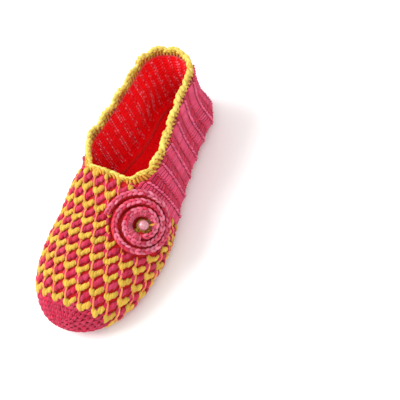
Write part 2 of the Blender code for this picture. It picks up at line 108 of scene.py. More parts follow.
ROSETTE_LAST = ROSETTE_RADIUS - ROSETTE_STRIP / 2

SPREAD = (
    # along, outer, inner
    (HEEL_PIVOT_SHARE, 0.00, 0.00),
    (0.30, 0.14, 0.04),
    (0.45, 0.47, 0.52),
    (0.58, 0.86, 0.95),
    (TOE_PIVOT_SHARE, 1.00, 1.00),
)
SPINE = (
    # along, shift
    (HEEL_PIVOT_SHARE, 0.00),
    (0.40, -0.08),
    (THROAT_SHARE, -0.11),
    (TOE_PIVOT_SHARE, -0.06),
)
LEAN = (
    # along, outer, inner
    (HEEL_PIVOT_SHARE, 0.96, 0.82),
    (0.28, 0.97, 0.95),
    (0.42, 0.91, 0.98),
)
ROUNDNESS = (
    # along, power
    (0.0, 1.15),
    (HEEL_PIVOT_SHARE, 1.2),
    (0.34, 1.9),
    (THROAT_SHARE, 2.55),
    (TOE_PIVOT_SHARE, 2.15),
)
COLLAR = (
    # along, height
    (HEEL_PIVOT_SHARE, HEEL_COLLAR_SHARE * INSTEP_HEIGHT),
    (0.40, SIDE_COLLAR_SHARE * INSTEP_HEIGHT),
    (THROAT_SHARE, THROAT_CORNER_SHARE * INSTEP_HEIGHT),
)

# Fineness of the form here
RIB_STEPS = 20
VAMP_STEPS = 26
TOE_STEPS = 40
SIDE_LEVELS = 22
TURN_LEVELS = 6
TOP_LEVELS = 14
RAY_HEIGHT = 17 * MM

# The fabric's ground under the stitches, and how the band sits on its rim
FORE_GROUND = 1.5 * MM
RIB_GROUND = 0.7 * MM
SEAM_SINK = 0.7 * MM
EDGING_SETTLE = 1.0 * MM

# The camera, placed in the form's own frame
CAMERA_LENS = 76.5
CAMERA_SENSOR = 36.0
CAMERA_PLACE = (0.24462, 0.35511, 0.56688)
CAMERA_TURN = (0.56182328, 0.28228515, 2.01276875)

# Stitch pattern of the forefoot, in millimetres
ROW_PAIR = 12.2
COLUMN_WIDTH = 11.5
CAP_START = 106.0
PATTERN_START = 107.9
PAIRS = 9
COLUMN_DRIFT = 0.38
DRIFT_CENTRE = 50
COLUMN_START = 5.8
LOBE_ROW = 5.9
LOBES = (
    # across, down, across, down, radius, lift, bend
    (1.6, 1.4, 2.6, 6.2, 1.55, -0.05, -0.2),
    (3.3, 1.8, 4.4, 6.9, 1.75, 0.15, -0.2),
    (5.3, 6.2, 6.2, 1.2, 1.60, 0.05, 0.2),
    (6.9, 4.4, 7.9, -0.4, 1.60, -0.15, 0.2),
    (8.6, 3.6, 9.5, -1.4, 1.55, 0.05, 0.2),
    (9.9, 2.0, 10.6, -2.2, 1.25, -0.25, 0.2),
)


def smooth_through(table, column, at, end_slope=0.0):
    """A smooth curve through one column of a table, whose first column is the place."""
    places = [row[0] for row in table]
    values = [row[column] for row in table]
    last = len(places) - 1
    slopes = [0.0] + [
        (values[i + 1] - values[i - 1]) / (places[i + 1] - places[i - 1])
        for i in range(1, last)
    ] + [end_slope]
    i = 0
    while i < last - 1 and places[i + 1] < at:
        i += 1
    span = places[i + 1] - places[i]
    t = min(max((at - places[i]) / span, 0.0), 1.0)
    return (
        (2 * t**3 - 3 * t**2 + 1) * values[i]
        + (t**3 - 2 * t**2 + t) * span * slopes[i]
        + (3 * t**2 - 2 * t**3) * values[i + 1]
        + (t**3 - t**2) * span * slopes[i + 1]
    )


def smooth_step(t):
    t = np.clip(t, 0.0, 1.0)
    return t * t * (3 - 2 * t)


def unit(vectors):
    length = np.linalg.norm(vectors, axis=-1, keepdims=True)
    return vectors / np.maximum(length, 1e-12)


def run_of(points):
    """The length along a line from its start to each of its points."""
    steps = np.linalg.norm(np.diff(points, axis=0), axis=1)
    return np.concatenate([[0], np.cumsum(steps)])


def along_line(values, lengths, run):
    """Values at these lengths along a line, whose points have the lengths in run."""
    return np.stack([np.interp(lengths, run, column) for column in values.T], axis=-1)


def bilinear(grid, i, j):
    """Values of a grid at broken places (i, j)."""
    i = np.clip(i, 0, grid.shape[0] - 1.001)
    j = np.clip(j, 0, grid.shape[1] - 1.001)
    i0, j0 = i.astype(int), j.astype(int)
    s, t = (i - i0)[..., None], (j - j0)[..., None]
    low = grid[i0, j0] * (1 - t) + grid[i0, j0 + 1] * t
    high = grid[i0 + 1, j0] * (1 - t) + grid[i0 + 1, j0 + 1] * t
    return low * (1 - s) + high * s


def x_at(along):
    return (along - 0.5) * LENGTH


def along_of(x):
    return x / LENGTH + 0.5


def side_half_width(along, outer):
    ball = BALL_OUTER if outer else BALL_INNER
    spread = smooth_through(SPREAD, 1 if outer else 2, along)
    return HEEL_HALF + spread * (ball - HEEL_HALF)


def spine_y(along):
    return BALL_INNER * smooth_through(SPINE, 1, along)


def slant_at(along):
    end = HEEL_PIVOT_SHARE if along < THROAT_SHARE else TOE_PIVOT_SHARE
    return THROAT_SLANT * smooth_step((along - end) / (THROAT_SHARE - end))


def column_at(x, y, along):
    """A column: its outline point, then the spine point that it runs to."""
    return np.array([x, y, x_at(along), spine_y(along)])


def middle_column(along, outer):
    side = 1 if outer else -1
    x = x_at(along) + side * slant_at(along)
    return column_at(x, side * side_half_width(along_of(x), outer), along)


def heel_column(turn, outer):
    angle = 0.5 * math.pi * turn
    side = 1 if outer else -1
    x = x_at(HEEL_PIVOT_SHARE) - HEEL_DEPTH * math.sin(angle)
    return column_at(x, side * HEEL_HALF * math.cos(angle), HEEL_PIVOT_SHARE)


def toe_column(turn, outer):
    angle = 0.5 * math.pi * turn
    forward = math.sin(angle) ** (2 / TOE_POWER)
    sideways = math.cos(angle) ** (2 / TOE_POWER)
    side = BALL_OUTER if outer else -BALL_INNER
    x = x_at(TOE_PIVOT_SHARE) + (1 - TOE_PIVOT_SHARE) * LENGTH * forward
    return column_at(x, side * sideways + TOE_SWING * forward**2, TOE_PIVOT_SHARE)


def rounded(column, steps):
    """Columns round an end of the foot, from its outer side to its inner side."""
    turns = [i / steps for i in range(1, steps + 1)]
    return [column(t, True) for t in turns] + [column(t, False) for t in reversed(turns[:-1])]


def quarter_columns(count):
    """Columns from the inner throat back round the heel to the outer throat, evenly spaced."""
    fine = 60
    middle = [THROAT_SHARE + (HEEL_PIVOT_SHARE - THROAT_SHARE) * i / fine for i in range(fine + 1)]
    columns = [middle_column(a, False) for a in middle] + rounded(heel_column, fine)[::-1]
    columns = np.array(columns + [middle_column(a, True) for a in reversed(middle)])
    run = run_of(columns[:, :2])
    return list(along_line(columns, np.linspace(0, run[-1], count + 1), run))


def forefoot_columns(start, middle_count, toe_count):
    """Columns from the outer side at start forward round the toe to the inner side."""
    middle = [start + (TOE_PIVOT_SHARE - start) * i / middle_count for i in range(middle_count + 1)]
    columns = [middle_column(a, True) for a in middle] + rounded(toe_column, toe_count)
    return columns + [middle_column(a, False) for a in reversed(middle)]


def ground_rise(x, y):
    """How far the underside is off the floor: toe spring, and the arch on the inner side."""
    along = along_of(x)
    spring = TOE_SPRING * smooth_step((along - 0.84) / 0.18) ** 1.5
    waist = smooth_step((along - 0.26) / 0.14) * smooth_step((0.62 - along) / 0.14)
    inner = smooth_step((-y - 0.1 * BALL_INNER) / (0.6 * BALL_INNER))
    return spring + ARCH_RISE * waist * inner


def widest_height(along):
    risen = smooth_step((along - HEEL_PIVOT_SHARE) / 0.5)
    return WIDEST_AT_HEEL + (WIDEST_AT_BALL - WIDEST_AT_HEEL) * risen


def collar_height(along):
    return smooth_through(COLLAR, 1, along)


def crown_ratio(share, power):
    return (1 - share**power) ** (1 / power)


def instep_height(along):
    forward = (min(along, TOE_PIVOT_SHARE) - THROAT_SHARE) / (TOE_PIVOT_SHARE - THROAT_SHARE)
    return INSTEP_HEIGHT + (TOE_HEIGHT - INSTEP_HEIGHT) * (0.65 * forward + 0.35 * smooth_step(forward))


def crown(column):
    """The crown's curve on a column: its lowest and highest height and its power."""
    along = along_of(column[2])
    low = widest_height(along)
    power = smooth_through(ROUNDNESS, 1, along)
    if along > THROAT_SHARE - 1e-6:
        return low, instep_height(along), power
    throat_low = widest_height(THROAT_SHARE)
    corner = (THROAT_CORNER_SHARE * INSTEP_HEIGHT - throat_low) / (INSTEP_HEIGHT - throat_low)
    throat_lean = crown_ratio(corner, smooth_through(ROUNDNESS, 1, THROAT_SHARE))
    table = LEAN + ((THROAT_SHARE, throat_lean, throat_lean),)
    outer, inner = (smooth_through(table, side, along, end_slope=-3.6) for side in (1, 2))
    lean = outer if column[1] > 0 else inner
    if along < HEEL_PIVOT_SHARE + 1e-6:
        lean = inner + (outer - inner) * smooth_step(0.5 + 0.5 * column[1] / HEEL_HALF)
        lean += (HEEL_BACK_LEAN_SHARE - lean) * smooth_step((x_at(along) - column[0]) / HEEL_DEPTH)
    lean = min(lean, WIDEST_LEAN_SHARE)
    return low, low + (collar_height(along) - low) / crown_ratio(lean, power), power


def collar_angle(column):
    along = min(along_of(column[2]), THROAT_SHARE)
    at = np.array([*column[:2], x_at(along), 0.0])
    low, high, power = crown(at)
    angle = math.asin(((collar_height(along) - low) / (high - low)) ** (power / 2))
    radius = THROAT_ROUNDING_OUTER if column[1] > 0 else THROAT_ROUNDING_INNER
    left = max(radius - (THROAT_SHARE - along) * LENGTH, 0.0)
    climb = radius - math.sqrt(radius**2 - left**2)
    reach = np.linalg.norm(column[2:] - column[:2]) * math.cos(angle) ** (2 / power)
    return angle + (0.5 * math.pi - angle) * climb / reach


def profile_point(column, angle, curve=None):
    """A point of the outer form above the widest line: 0 is the line, 90 degrees the spine."""
    base, spine = column[:2], column[2:]
    low, high, power = curve or crown(column)
    along = along_of(column[2])
    height = (high - low) * math.sin(angle) ** (2 / power)
    out = max(math.cos(angle), 0.0) ** (2 / power)
    if along < PINCH_END_SHARE:
        climb = height / (collar_height(along) - low)
        fade = smooth_step((PINCH_END_SHARE - along) / (PINCH_END_SHARE - HEEL_PIVOT_SHARE))
        out -= HEEL_PINCH_SHARE * fade * math.sin(math.pi * min(climb, 1.0)) ** 1.5
    return np.array([*(spine + (base - spine) * out), low + height])


def turned_under(column, amount):
    return column[:2] + unit(column[2:] - column[:2]) * amount


def under_points(column, count):
    """Points of the outer form from the seam up to below the widest line."""
    low = ground_rise(*turned_under(column, TURN_UNDER)) + SOLE_THICKNESS + GAP
    high = widest_height(along_of(column[2]))
    points = []
    for i in range(count):
        angle = TURN_UNDER_ANGLE * (1 - i / count)
        amount = TURN_UNDER * (1 - math.cos(angle)) / (1 - math.cos(TURN_UNDER_ANGLE))
        height = high + (low - high) * math.sin(angle) / math.sin(TURN_UNDER_ANGLE)
        points.append(np.array([*turned_under(column, amount), height]))
    return points


def rosette_axes():
    """The rosette's centre on the form, its two flat axes and its normal."""
    column = middle_column(ROSETTE_PLACE_SHARE, True)
    climb = 0.5 * math.pi * ROSETTE_CLIMB_SHARE
    centre = profile_point(column, climb)
    nearby = profile_point(column, climb + 0.01 * math.pi)
    ahead = profile_point(middle_column(ROSETTE_PLACE_SHARE + 0.02, True), climb)
    forward = unit(ahead - centre)
    normal = unit(np.cross(nearby - centre, forward))
    return centre, forward, np.cross(normal, forward), normal


def slipper_shift():
    """From the form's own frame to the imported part's, where the box's middle is the origin."""
    low, high = (np.array(c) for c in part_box("pearl"))
    centre, _, _, normal = rosette_axes()
    height = ROSETTE_GAP + EYE_THICKNESS + GAP + PEARL_RADIUS
    return 0.5 * (low + high) - centre - normal * height


SHIFT = slipper_shift()


def grid_faces(count, size, ring=False, tube=False):
    """Faces between the rows of a grid of points, closed along its rows or across them."""
    return [
        (i * size + k, i * size + (k + 1) % size, (i + 1) % count * size + (k + 1) % size,
         (i + 1) % count * size + k)
        for i in range(count if ring else count - 1)
        for k in range(size if tube else size - 1)
    ]


def smoothed_ring(values, rounds):
    for _ in range(rounds):
        values = 0.5 * values + 0.25 * (np.roll(values, 1, axis=0) + np.roll(values, -1, axis=0))
    return values


class Sheet:
    """The upper's outer form as a fine grid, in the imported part's frame."""

    def __init__(self):
        self.fore = forefoot_columns(THROAT_SHARE, VAMP_STEPS, TOE_STEPS)
        quarter = quarter_columns(RIB_COUNT * RIB_STEPS)[1:-1]
        self.points, self.faces = [], []
        self.columns = [self.add(self.side_points(c)) for c in self.fore + quarter]
        self.top = [self.add(self.top_points(c)) for c in self.fore]
        self.spine = self.add([profile_point(c, 0.5 * math.pi) for c in self.fore[: VAMP_STEPS + 1]])
        for here, there in zip(self.columns, self.columns[1:] + self.columns[:1]):
            self.join(here, there)
        tops = [[self.columns[j][-1], *self.top[j], self.spine_of(j)] for j in range(len(self.fore))]
        for here, there in zip(tops, tops[1:]):
            self.join(here, there)
        self.points = np.array(self.points) + SHIFT
        mesh = bpy.data.meshes.new("sheet")
        mesh.from_pydata(self.points.tolist(), [], self.faces)
        self.normals = np.array([tuple(v.vector) for v in mesh.vertex_normals])
        bpy.data.meshes.remove(mesh)

    @staticmethod
    def side_points(column):
        """Points from the seam up to the collar's line."""
        limit, curve = collar_angle(column), crown(column)
        steps = [limit * i / SIDE_LEVELS for i in range(SIDE_LEVELS + 1)]
        return under_points(column, TURN_LEVELS) + [profile_point(column, a, curve) for a in steps]

    @staticmethod
    def top_points(column):
        """Points from above the collar's line up to, and not including, the spine."""
        limit, curve = collar_angle(column), crown(column)
        steps = [i / TOP_LEVELS for i in range(1, TOP_LEVELS)]
        return [profile_point(column, limit + (0.5 * math.pi - limit) * t, curve) for t in steps]

    def add(self, points):
        first = len(self.points)
        self.points += points
        return list(range(first, len(self.points)))

    def join(self, here, there):
        for k in range(len(here) - 1):
            face = (here[k], here[k + 1], there[k + 1], there[k])
            self.faces.append(tuple(dict.fromkeys(face)))

    def spine_of(self, column):
        return self.spine[min(column, len(self.fore) - 1 - column, VAMP_STEPS)]

    def collar_rim(self):
        """The opening's rim: along the throat to the inner side, then round the heel."""
        last = len(self.fore) - 1
        outer = [self.columns[0][-1], *self.top[0]]
        inner = [*reversed(self.top[last]), self.columns[last][-1]]
        return outer + [self.spine[0]] + inner + [c[-1] for c in self.columns[last + 1 :]]

    def seam_rim(self):
        return [column[0] for column in self.columns]


class QuarterMap:
    """The ribbed sides: u is the place round the heel in ribs, v the length up from the seam."""

    STEP = 1.0 * MM

    def __init__(self, sheet):
        lines = [sheet.points[c] for c in sheet.columns[len(sheet.fore) - 1 :] + sheet.columns[:1]]
        self.heights = np.array([run_of(p)[-1] for p in lines])
        marks = np.arange(0, self.heights.max() + self.STEP, self.STEP)
        self.grid = np.array([along_line(p, marks, run_of(p)) for p in lines])

    def height(self, u):
        return np.interp(u * RIB_STEPS, np.arange(len(self.heights)), self.heights)

    def __call__(self, u, v):
        i, j = u * RIB_STEPS, v / self.STEP
        top = self.height(u) / self.STEP
        point = bilinear(self.grid, i, j)
        along = bilinear(self.grid, i + 1.5, j) - bilinear(self.grid, i - 1.5, j)
        above = bilinear(self.grid, i, np.minimum(j + 1.5, top - 1))
        below = bilinear(self.grid, i, np.minimum(j - 1.5, top - 3))
        return point, unit(np.cross(above - below, along))

    def ribbed(self, u, v):
        """The same places with the ribs standing out."""
        point, normal = self(u, v)
        return point + normal * (rib_height(u) * smooth_step(v / (8 * MM)))[..., None], normal


def rib_height(phase):
    return RIB_RELIEF * (0.5 + 0.5 * np.cos(2 * math.pi * (phase % 1.0 - 0.5))) ** 2


def form_tree(columns, power=1.0):
    """The outer form through these columns, to be met by rays from inside it."""
    lines = []
    for column in columns:
        curve = crown(column)
        angles = [0.5 * math.pi * (i / 40) ** power for i in range(41)]
        lines.append(under_points(column, 8) + [profile_point(column, a, curve) for a in angles])
    lines = np.array(lines) + SHIFT
    return BVHTree.FromPolygons(lines.reshape(-1, 3).tolist(), grid_faces(*lines.shape[:2]))


def cast(tree, origin, directions, ends=lambda hit: False):
    """Where rays meet the form, up to the one that misses it or ends the line."""
    points = []
    for direction in directions:
        hit = tree.ray_cast(Vector(origin), Vector(direction))[0]
        if hit is None:
            break
        points.append(tuple(hit))
        if ends(hit):
            break
    return np.array(points)


class ForefootMap:
    """The forefoot: u is the place of a row on the middle line, v the length round from the ridge."""

    X_STEP = 1.5 * MM
    A_STEP = 1.0 * MM
    REACH = 96 * MM

    def __init__(self):
        tree = form_tree(forefoot_columns(0.40, 50, TOE_STEPS), 0.9)
        self.xs = np.arange(-16 * MM, 112 * MM, self.X_STEP)
        angles = np.radians(np.arange(0, 140, 1.5))
        marks = np.arange(-self.REACH, self.REACH + self.A_STEP, self.A_STEP)
        grid, ends = [], []
        for x in self.xs:
            forward = smooth_step((x - 40 * MM) / (70 * MM))
            spine = spine_y(min(along_of(x - SHIFT[0]), TOE_PIVOT_SHARE))
            middle = SHIFT[1] + (spine * (1 - forward) + TOE_SWING * forward)
            inner, outer = (
                cast(tree, (x, middle, RAY_HEIGHT), [(0, side * math.sin(a), math.cos(a)) for a in angles])
                for side in (-1, 1)
            )
            whole = np.vstack([inner[:0:-1], outer])
            run = run_of(whole)
            run -= run[len(inner) - 1]
            grid.append(along_line(whole, marks, run))
            ends.append((run[0], run[-1]))
        self.grid = np.array(grid)
        self.low, self.high = np.array(ends).T

    def surface(self, x, a):
        return bilinear(self.grid, (x - self.xs[0]) / self.X_STEP, (a + self.REACH) / self.A_STEP)

    def x_of(self, u, y):
        """Rows curve back at the sides, and follow the throat's slant next to it."""
        fade = smooth_step((u - 12 * MM) / (34 * MM))
        y = y - SHIFT[1]
        forward = u - fade * (3.8 * y * y - 0.04 * y)
        return SHIFT[0] + forward + (1 - fade) * 0.1 * (y + 5 * MM)

    def row(self, u, a):
        x = np.array(u, dtype=float)
        for _ in range(6):
            x = 0.5 * x + 0.5 * self.x_of(u, self.surface(x, a)[..., 1])
        return x

    def limits(self, x):
        return np.interp(x, self.xs, self.low), np.interp(x, self.xs, self.high)

    def __call__(self, u, v):
        x = self.row(u, v)
        step = 1.6 * MM
        low, high = self.limits(x)
        around = np.clip(v, low + step, high - step)
        forward = self.surface(x + step, v) - self.surface(x - step, v)
        across = self.surface(x, around + step) - self.surface(x, around - step)
        return self.surface(x, v), unit(np.cross(forward, across))


class CapMap:
    """The toe cap: u is the share of the way back from the tip, v the turn from the top."""

    def __init__(self, edge_x):
        tree = form_tree(forefoot_columns(0.60, 12, 70))
        self.turns = np.radians(np.arange(-180, 181, 3.0))
        tilts = np.radians(np.arange(0, 112, 2.0))
        origin = (edge_x, TOE_SWING + SHIFT[1], RAY_HEIGHT)

        def at_edge(hit):
            return hit[0] < edge_x - 1.2 * MM - 3.6 * (hit[1] - SHIFT[1]) ** 2

        lines = []
        for turn in self.turns:
            flat = (math.sin(turn), math.cos(turn))
            rays = [(math.cos(a), math.sin(a) * flat[0], math.sin(a) * flat[1]) for a in tilts]
            points = cast(tree, origin, rays, at_edge)
            run = run_of(points)
            lines.append(along_line(points, np.linspace(0, 1, 41) * run[-1], run))
        self.grid = np.stack(lines, axis=1)

    def __call__(self, u, v):
        i = u * (len(self.grid) - 1)
        j = (v + math.pi) / (self.turns[1] - self.turns[0])
        back = bilinear(self.grid, i + 0.6, j) - bilinear(self.grid, i - 0.6, j)
        around = bilinear(self.grid, i, j + 0.5) - bilinear(self.grid, i, j - 0.5)
        return bilinear(self.grid, i, j), unit(np.cross(around, back))


class SpiralMap:
    """The rosette: u is the share of the spiral, v the distance across its strip."""

    FINE = 400
    FIRST_TURN = 145

    def __init__(self):
        centre, self.forward, self.side, self.normal = rosette_axes()
        self.centre = centre + SHIFT
        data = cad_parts["upper"].data
        faces = [tuple(p.vertices) for p in data.polygons]
        self.tree = BVHTree.FromPolygons([tuple(v.co) for v in data.vertices], faces)
        self.marks = np.linspace(0, 1, 120)
        self.floors = np.array([self.floor_at(m) for m in self.marks])
        self.fine = np.linspace(0, 1, self.FINE)
        self.run = run_of(self.plane(*self.polar(self.fine)))

    def polar(self, share, across=0.0):
        """Radius and angle on the strip: the turns drift towards the instep on their way out."""
        radius = ROSETTE_START + (ROSETTE_LAST - ROSETTE_START) * share + across
        angle = 2 * math.pi * ROSETTE_TURNS * share
        forward, side = radius * np.cos(angle), radius * np.sin(angle) - ROSETTE_DRIFT * share
        return np.hypot(forward, side), np.arctan2(side, forward)

    def plane(self, radius, angle):
        radius, angle = np.asarray(radius)[..., None], np.asarray(angle)[..., None]
        return self.centre + radius * (self.forward * np.cos(angle) + self.side * np.sin(angle))

    def height_at(self, radius, angle):
        """The upper's height under a place, or under the nearest place inwards that lies on it."""
        for inward in range(40):
            start = self.plane(radius * (1 - inward / 40), angle) + self.normal * ROSETTE_RADIUS
            hit = self.tree.ray_cast(Vector(start), Vector(-self.normal))
            if hit[0] is not None and hit[3] < 2 * ROSETTE_RADIUS:
                return ROSETTE_RADIUS - hit[3]
        return 0.0

    def floor_at(self, share):
        half = 0.5 * ROSETTE_STRIP
        return max(self.height_at(*self.polar(share, across)) for across in (0.0, -half, half)) + ROSETTE_GAP

    def floor(self, u):
        return np.interp(u, self.marks, self.floors)

    def share_of(self, length):
        return np.interp(length, self.run, self.fine)

    def top(self, u):
        return self.floor(u) + ROSETTE_HEIGHT * (1 - 0.18 * u)

    def raised(self, place, height):
        return self.plane(*place) + self.normal * np.asarray(height)[..., None]

    def __call__(self, u, v):
        """A point on the strip's top."""
        point = self.raised(self.polar(u, v), self.top(u))
        return point, np.broadcast_to(self.normal, point.shape)

    def wall(self, side):
        """The strip's inner or outer side: u as before, v the height above the floor."""
        def place(u, v):
            flat = self.plane(*self.polar(u, side * 0.42 * ROSETTE_STRIP))
            out = self.plane(*self.polar(u, side * ROSETTE_STRIP)) - flat
            return flat + self.normal * (self.floor(u) + v)[..., None], unit(out)
        return place


def spans(*ends):
    """A row (u, v, u, v) for each strand, from its start to its end on a map."""
    return np.stack(np.broadcast_arrays(*ends), axis=1).astype(float)


def drawn(value, count):
    """A number for each strand: given, or drawn between the two ends of a range."""
    return RANDOM.uniform(*value, count) if isinstance(value, tuple) else value


def varied(low, high, count):
    """A factor round 1 for each strand."""
    return 1 + RANDOM.uniform(low, high, count)


def jitter(ends, axis, spread):
    """Moves both ends of each strand a little, along u for 0 and along v for 1."""
    ends[:, axis::2] += RANDOM.normal(0, spread, (len(ends), 2))


class Yarn:
    """Strands of yarn gathered for one piece."""

    def __init__(self):
        self.points, self.faces, self.caps = [], [], []
        self.uvs, self.tones, self.warms = [], [], []
        self.count = 0

    def tube(self, path, normals, radius, tone, warm, sides, flat):
        """Closed strands along paths (strands, rings, 3) with the radius at each ring."""
        strands, rings = path.shape[:2]
        tangent = unit(np.gradient(path, axis=1))
        side = unit(np.cross(normals, tangent))
        up = np.cross(tangent, side)
        angles = 2 * math.pi * np.arange(sides) / sides
        ring = side[:, :, None] * np.cos(angles)[:, None] + up[:, :, None] * np.sin(angles)[:, None] * flat
        points = path[:, :, None] + ring * radius[:, :, None, None]
        self.points.append(points.reshape(-1, 3))
        first = self.count + np.arange(strands) * rings * sides
        self.count += len(self.points[-1])
        i = first[:, None, None] + np.arange(rings - 1)[:, None] * sides
        k = np.arange(sides)
        n = (k + 1) % sides
        self.faces.append(np.stack([i + k, i + sides + k, i + sides + n, i + n], axis=-1).reshape(-1, 4))
        start = first[:, None] + k
        self.caps += [start, (start + (rings - 1) * sides)[:, ::-1]]
        steps = np.linalg.norm(np.diff(path, axis=1), axis=2)
        run = np.concatenate([np.zeros((strands, 1)), np.cumsum(steps, axis=1)], axis=1) / MM
        along = np.stack([run[:, :-1], run[:, 1:], run[:, 1:], run[:, :-1]], axis=-1)[:, :, None]
        round_ = (k[:, None] + np.array([0, 0, 1, 1])) / sides
        self.uvs.append(np.stack(np.broadcast_arrays(along, round_), axis=-1).reshape(-1, 2))
        for values, value in ((self.tones, tone), (self.warms, warm)):
            values.append(np.repeat(np.broadcast_to(value, (strands,)), rings * sides))

    def lay(self, place, ends, radius, lift, sink=None, swell=None, warm=0.0, tone=(-0.09, 0.09),
            bend=0.0, taper=0.4, full=0.55, flat=1.0, rings=7, sides=8):
        """Strands on a map. Radius, lift, sink and bend are in millimetres; a tone range is round 1."""
        strands = len(ends)
        if strands == 0:
            return
        if swell:
            radius = radius * varied(-swell, swell, strands)
        warm = drawn(warm, strands)
        if isinstance(tone, tuple):
            tone = 1 + drawn(tone, strands)
        t = np.linspace(0, 1, rings)[None]
        u = ends[:, 0, None] + (ends[:, 2] - ends[:, 0])[:, None] * t
        v = ends[:, 1, None] + (ends[:, 3] - ends[:, 1])[:, None] * t
        point, normal = place(u, v)
        radius = np.broadcast_to(radius, (strands,))[:, None] * MM
        sink = 0.5 * radius if sink is None else sink * MM
        height = -sink + (lift * MM + sink) * np.sin(math.pi * t) ** 0.6
        path = point + normal * height[..., None]
        if bend:
            sideways = np.cross(normal, unit(np.gradient(path, axis=1)))
            path = path + sideways * (bend * MM * np.sin(math.pi * t))[..., None]
        thick = radius * (taper + (1 - taper) * np.sin(math.pi * t) ** full)
        self.tube(path, normal, thick, tone, warm, sides, flat)

    def piece(self, name, slot, material):
        points = np.vstack(self.points)
        faces = self.faces + self.caps
        loops = np.concatenate([f.ravel() for f in faces])
        sizes = np.concatenate([np.full(len(f), f.shape[1]) for f in faces])
        mesh = bpy.data.meshes.new(name)
        mesh.vertices.add(len(points))
        mesh.vertices.foreach_set("co", points.ravel())
        mesh.loops.add(len(loops))
        mesh.loops.foreach_set("vertex_index", loops.astype(np.int32))
        mesh.polygons.add(len(sizes))
        mesh.polygons.foreach_set("loop_start", (np.cumsum(sizes) - sizes).astype(np.int32))
        mesh.update(calc_edges=True)
        side = np.vstack(self.uvs)
        uv = np.zeros((len(loops), 2))
        uv[: len(side)] = side
        mesh.uv_layers.new(name="UVMap").data.foreach_set("uv", uv.ravel())
        for key, values in (("tone", self.tones), ("warm", self.warms)):
            layer = mesh.attributes.new(key, "FLOAT", "POINT")
            layer.data.foreach_set("value", np.concatenate(values).astype(np.float32))
        mesh.materials.append(material)
        finished(mesh, slot)


def finished(mesh, slot, *nodes):
    """A piece on the body root, and the solids that it stands in for."""
    mesh.shade_smooth()
    obj = bpy.data.objects.new(mesh.name, mesh)
    bpy.context.scene.collection.objects.link(obj)
    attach(obj, "root")
    if nodes:
        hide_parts(*nodes)


def mesh_of(name, points, faces, *materials, index=None):
    mesh = bpy.data.meshes.new(name)
    mesh.from_pydata([tuple(p) for p in points], [], faces)
    for material in materials:
        mesh.materials.append(material)
    if index is not None:
        mesh.polygons.foreach_set("material_index", np.array(index, dtype=np.int32))
    mesh.update()
    return mesh


def strip_mesh(name, rows, material, closed=False):
    """A solid strip through sections of points, with closed ends where it isn't a ring."""
    rows = np.array(rows)
    count, size = rows.shape[:2]
    ends = [] if closed else [tuple(reversed(range(size))), tuple(range((count - 1) * size, count * size))]
    return mesh_of(name, rows.reshape(-1, 3), ends + grid_faces(count, size, closed, True), material)


class Graph:
    """Small helper for a material's nodes."""

    def __init__(self, name, rough=0.9, sheen=0.0, coat=0.0, specular=0.12):
        self.material = bpy.data.materials.new(name)
        self.material.use_nodes = True
        self.tree = self.material.node_tree
        self.inputs = self.tree.nodes["Principled BSDF"].inputs
        for key, value in (("Roughness", rough), ("Sheen Weight", sheen), ("Sheen Roughness", 0.5),
                           ("Coat Weight", coat), ("Specular IOR Level", specular)):
            self.inputs[key].default_value = value

    def node(self, kind, **values):
        made = self.tree.nodes.new(kind)
        for key, value in values.items():
            if hasattr(made, key):
                setattr(made, key, value)
            else:
                made.inputs[key].default_value = value
        return made

    def fill(self, made, values):
        """Number, colour or link for each of these inputs."""
        for i, value in values:
            if isinstance(value, (int, float)):
                made.inputs[i].default_value = value
            elif isinstance(value, tuple):
                made.inputs[i].default_value = (*value, 1.0)
            else:
                self.tree.links.new(value, made.inputs[i])

    def math(self, operation, *values):
        made = self.node("ShaderNodeMath", operation=operation)
        self.fill(made, enumerate(values))
        return made.outputs[0]

    def mix(self, blend, factor, first, second):
        made = self.node("ShaderNodeMix", data_type="RGBA", blend_type=blend)
        self.fill(made, ((0, factor), (6, first), (7, second)))
        return made.outputs[2]

    def noise(self, scale, detail=2.0):
        made = self.node("ShaderNodeTexNoise", Scale=scale, Detail=detail)
        self.fill(made, (("Vector", self.node("ShaderNodeTexCoord").outputs["Object"]),))
        return made.outputs["Fac"]

    def grey(self, value):
        made = self.node("ShaderNodeCombineColor")
        self.fill(made, ((i, value) for i in range(3)))
        return made.outputs[0]

    def finish(self, colour, strength=None, distance=None, height=None):
        """The colour, and the bump where the surface has one."""
        self.tree.links.new(colour, self.inputs["Base Color"])
        if height is not None:
            bump = self.node("ShaderNodeBump", Strength=strength, Distance=distance)
            self.fill(bump, (("Height", height),))
            self.tree.links.new(bump.outputs[0], self.inputs["Normal"])
        return self.material


def yarn_material(name, colour, warm_colour, ply=1.5, sheen=0.08):
    """Twisted cotton: plies round each strand with painted shade in the grooves between them, fine fuzz and
    a tone for each stitch.
    """
    g = Graph(name, sheen=sheen)
    split = g.node("ShaderNodeSeparateXYZ")
    g.fill(split, ((0, g.node("ShaderNodeUVMap", uv_map="UVMap").outputs[0]),))
    turn = g.math("ADD", g.math("MULTIPLY", split.outputs[0], 2 * math.pi / ply),
                  g.math("MULTIPLY", split.outputs[1], 4 * math.pi))
    strand = g.math("ABSOLUTE", g.math("SINE", turn))
    fuzz = g.noise(2600.0, 3.0)
    light, warm = (
        g.node("ShaderNodeAttribute", attribute_name=key).outputs["Fac"] for key in ("tone", "warm")
    )
    # The first factor darkens the colour where the ply bump is low: painted shade in the grooves between the
    # plies.
    for low, share, source in ((0.80, 0.2, strand), (0.88, 0.24, g.noise(160.0)), (0.92, 0.16, fuzz)):
        light = g.math("MULTIPLY", light, g.math("ADD", low, g.math("MULTIPLY", source, share)))
    base = g.mix("MIX", warm, colour, warm_colour)
    relief = g.math("ADD", strand, g.math("MULTIPLY", fuzz, 0.5))
    return g.finish(g.mix("MULTIPLY", 1.0, base, g.grey(light)), 0.7, 0.25 * MM, relief)


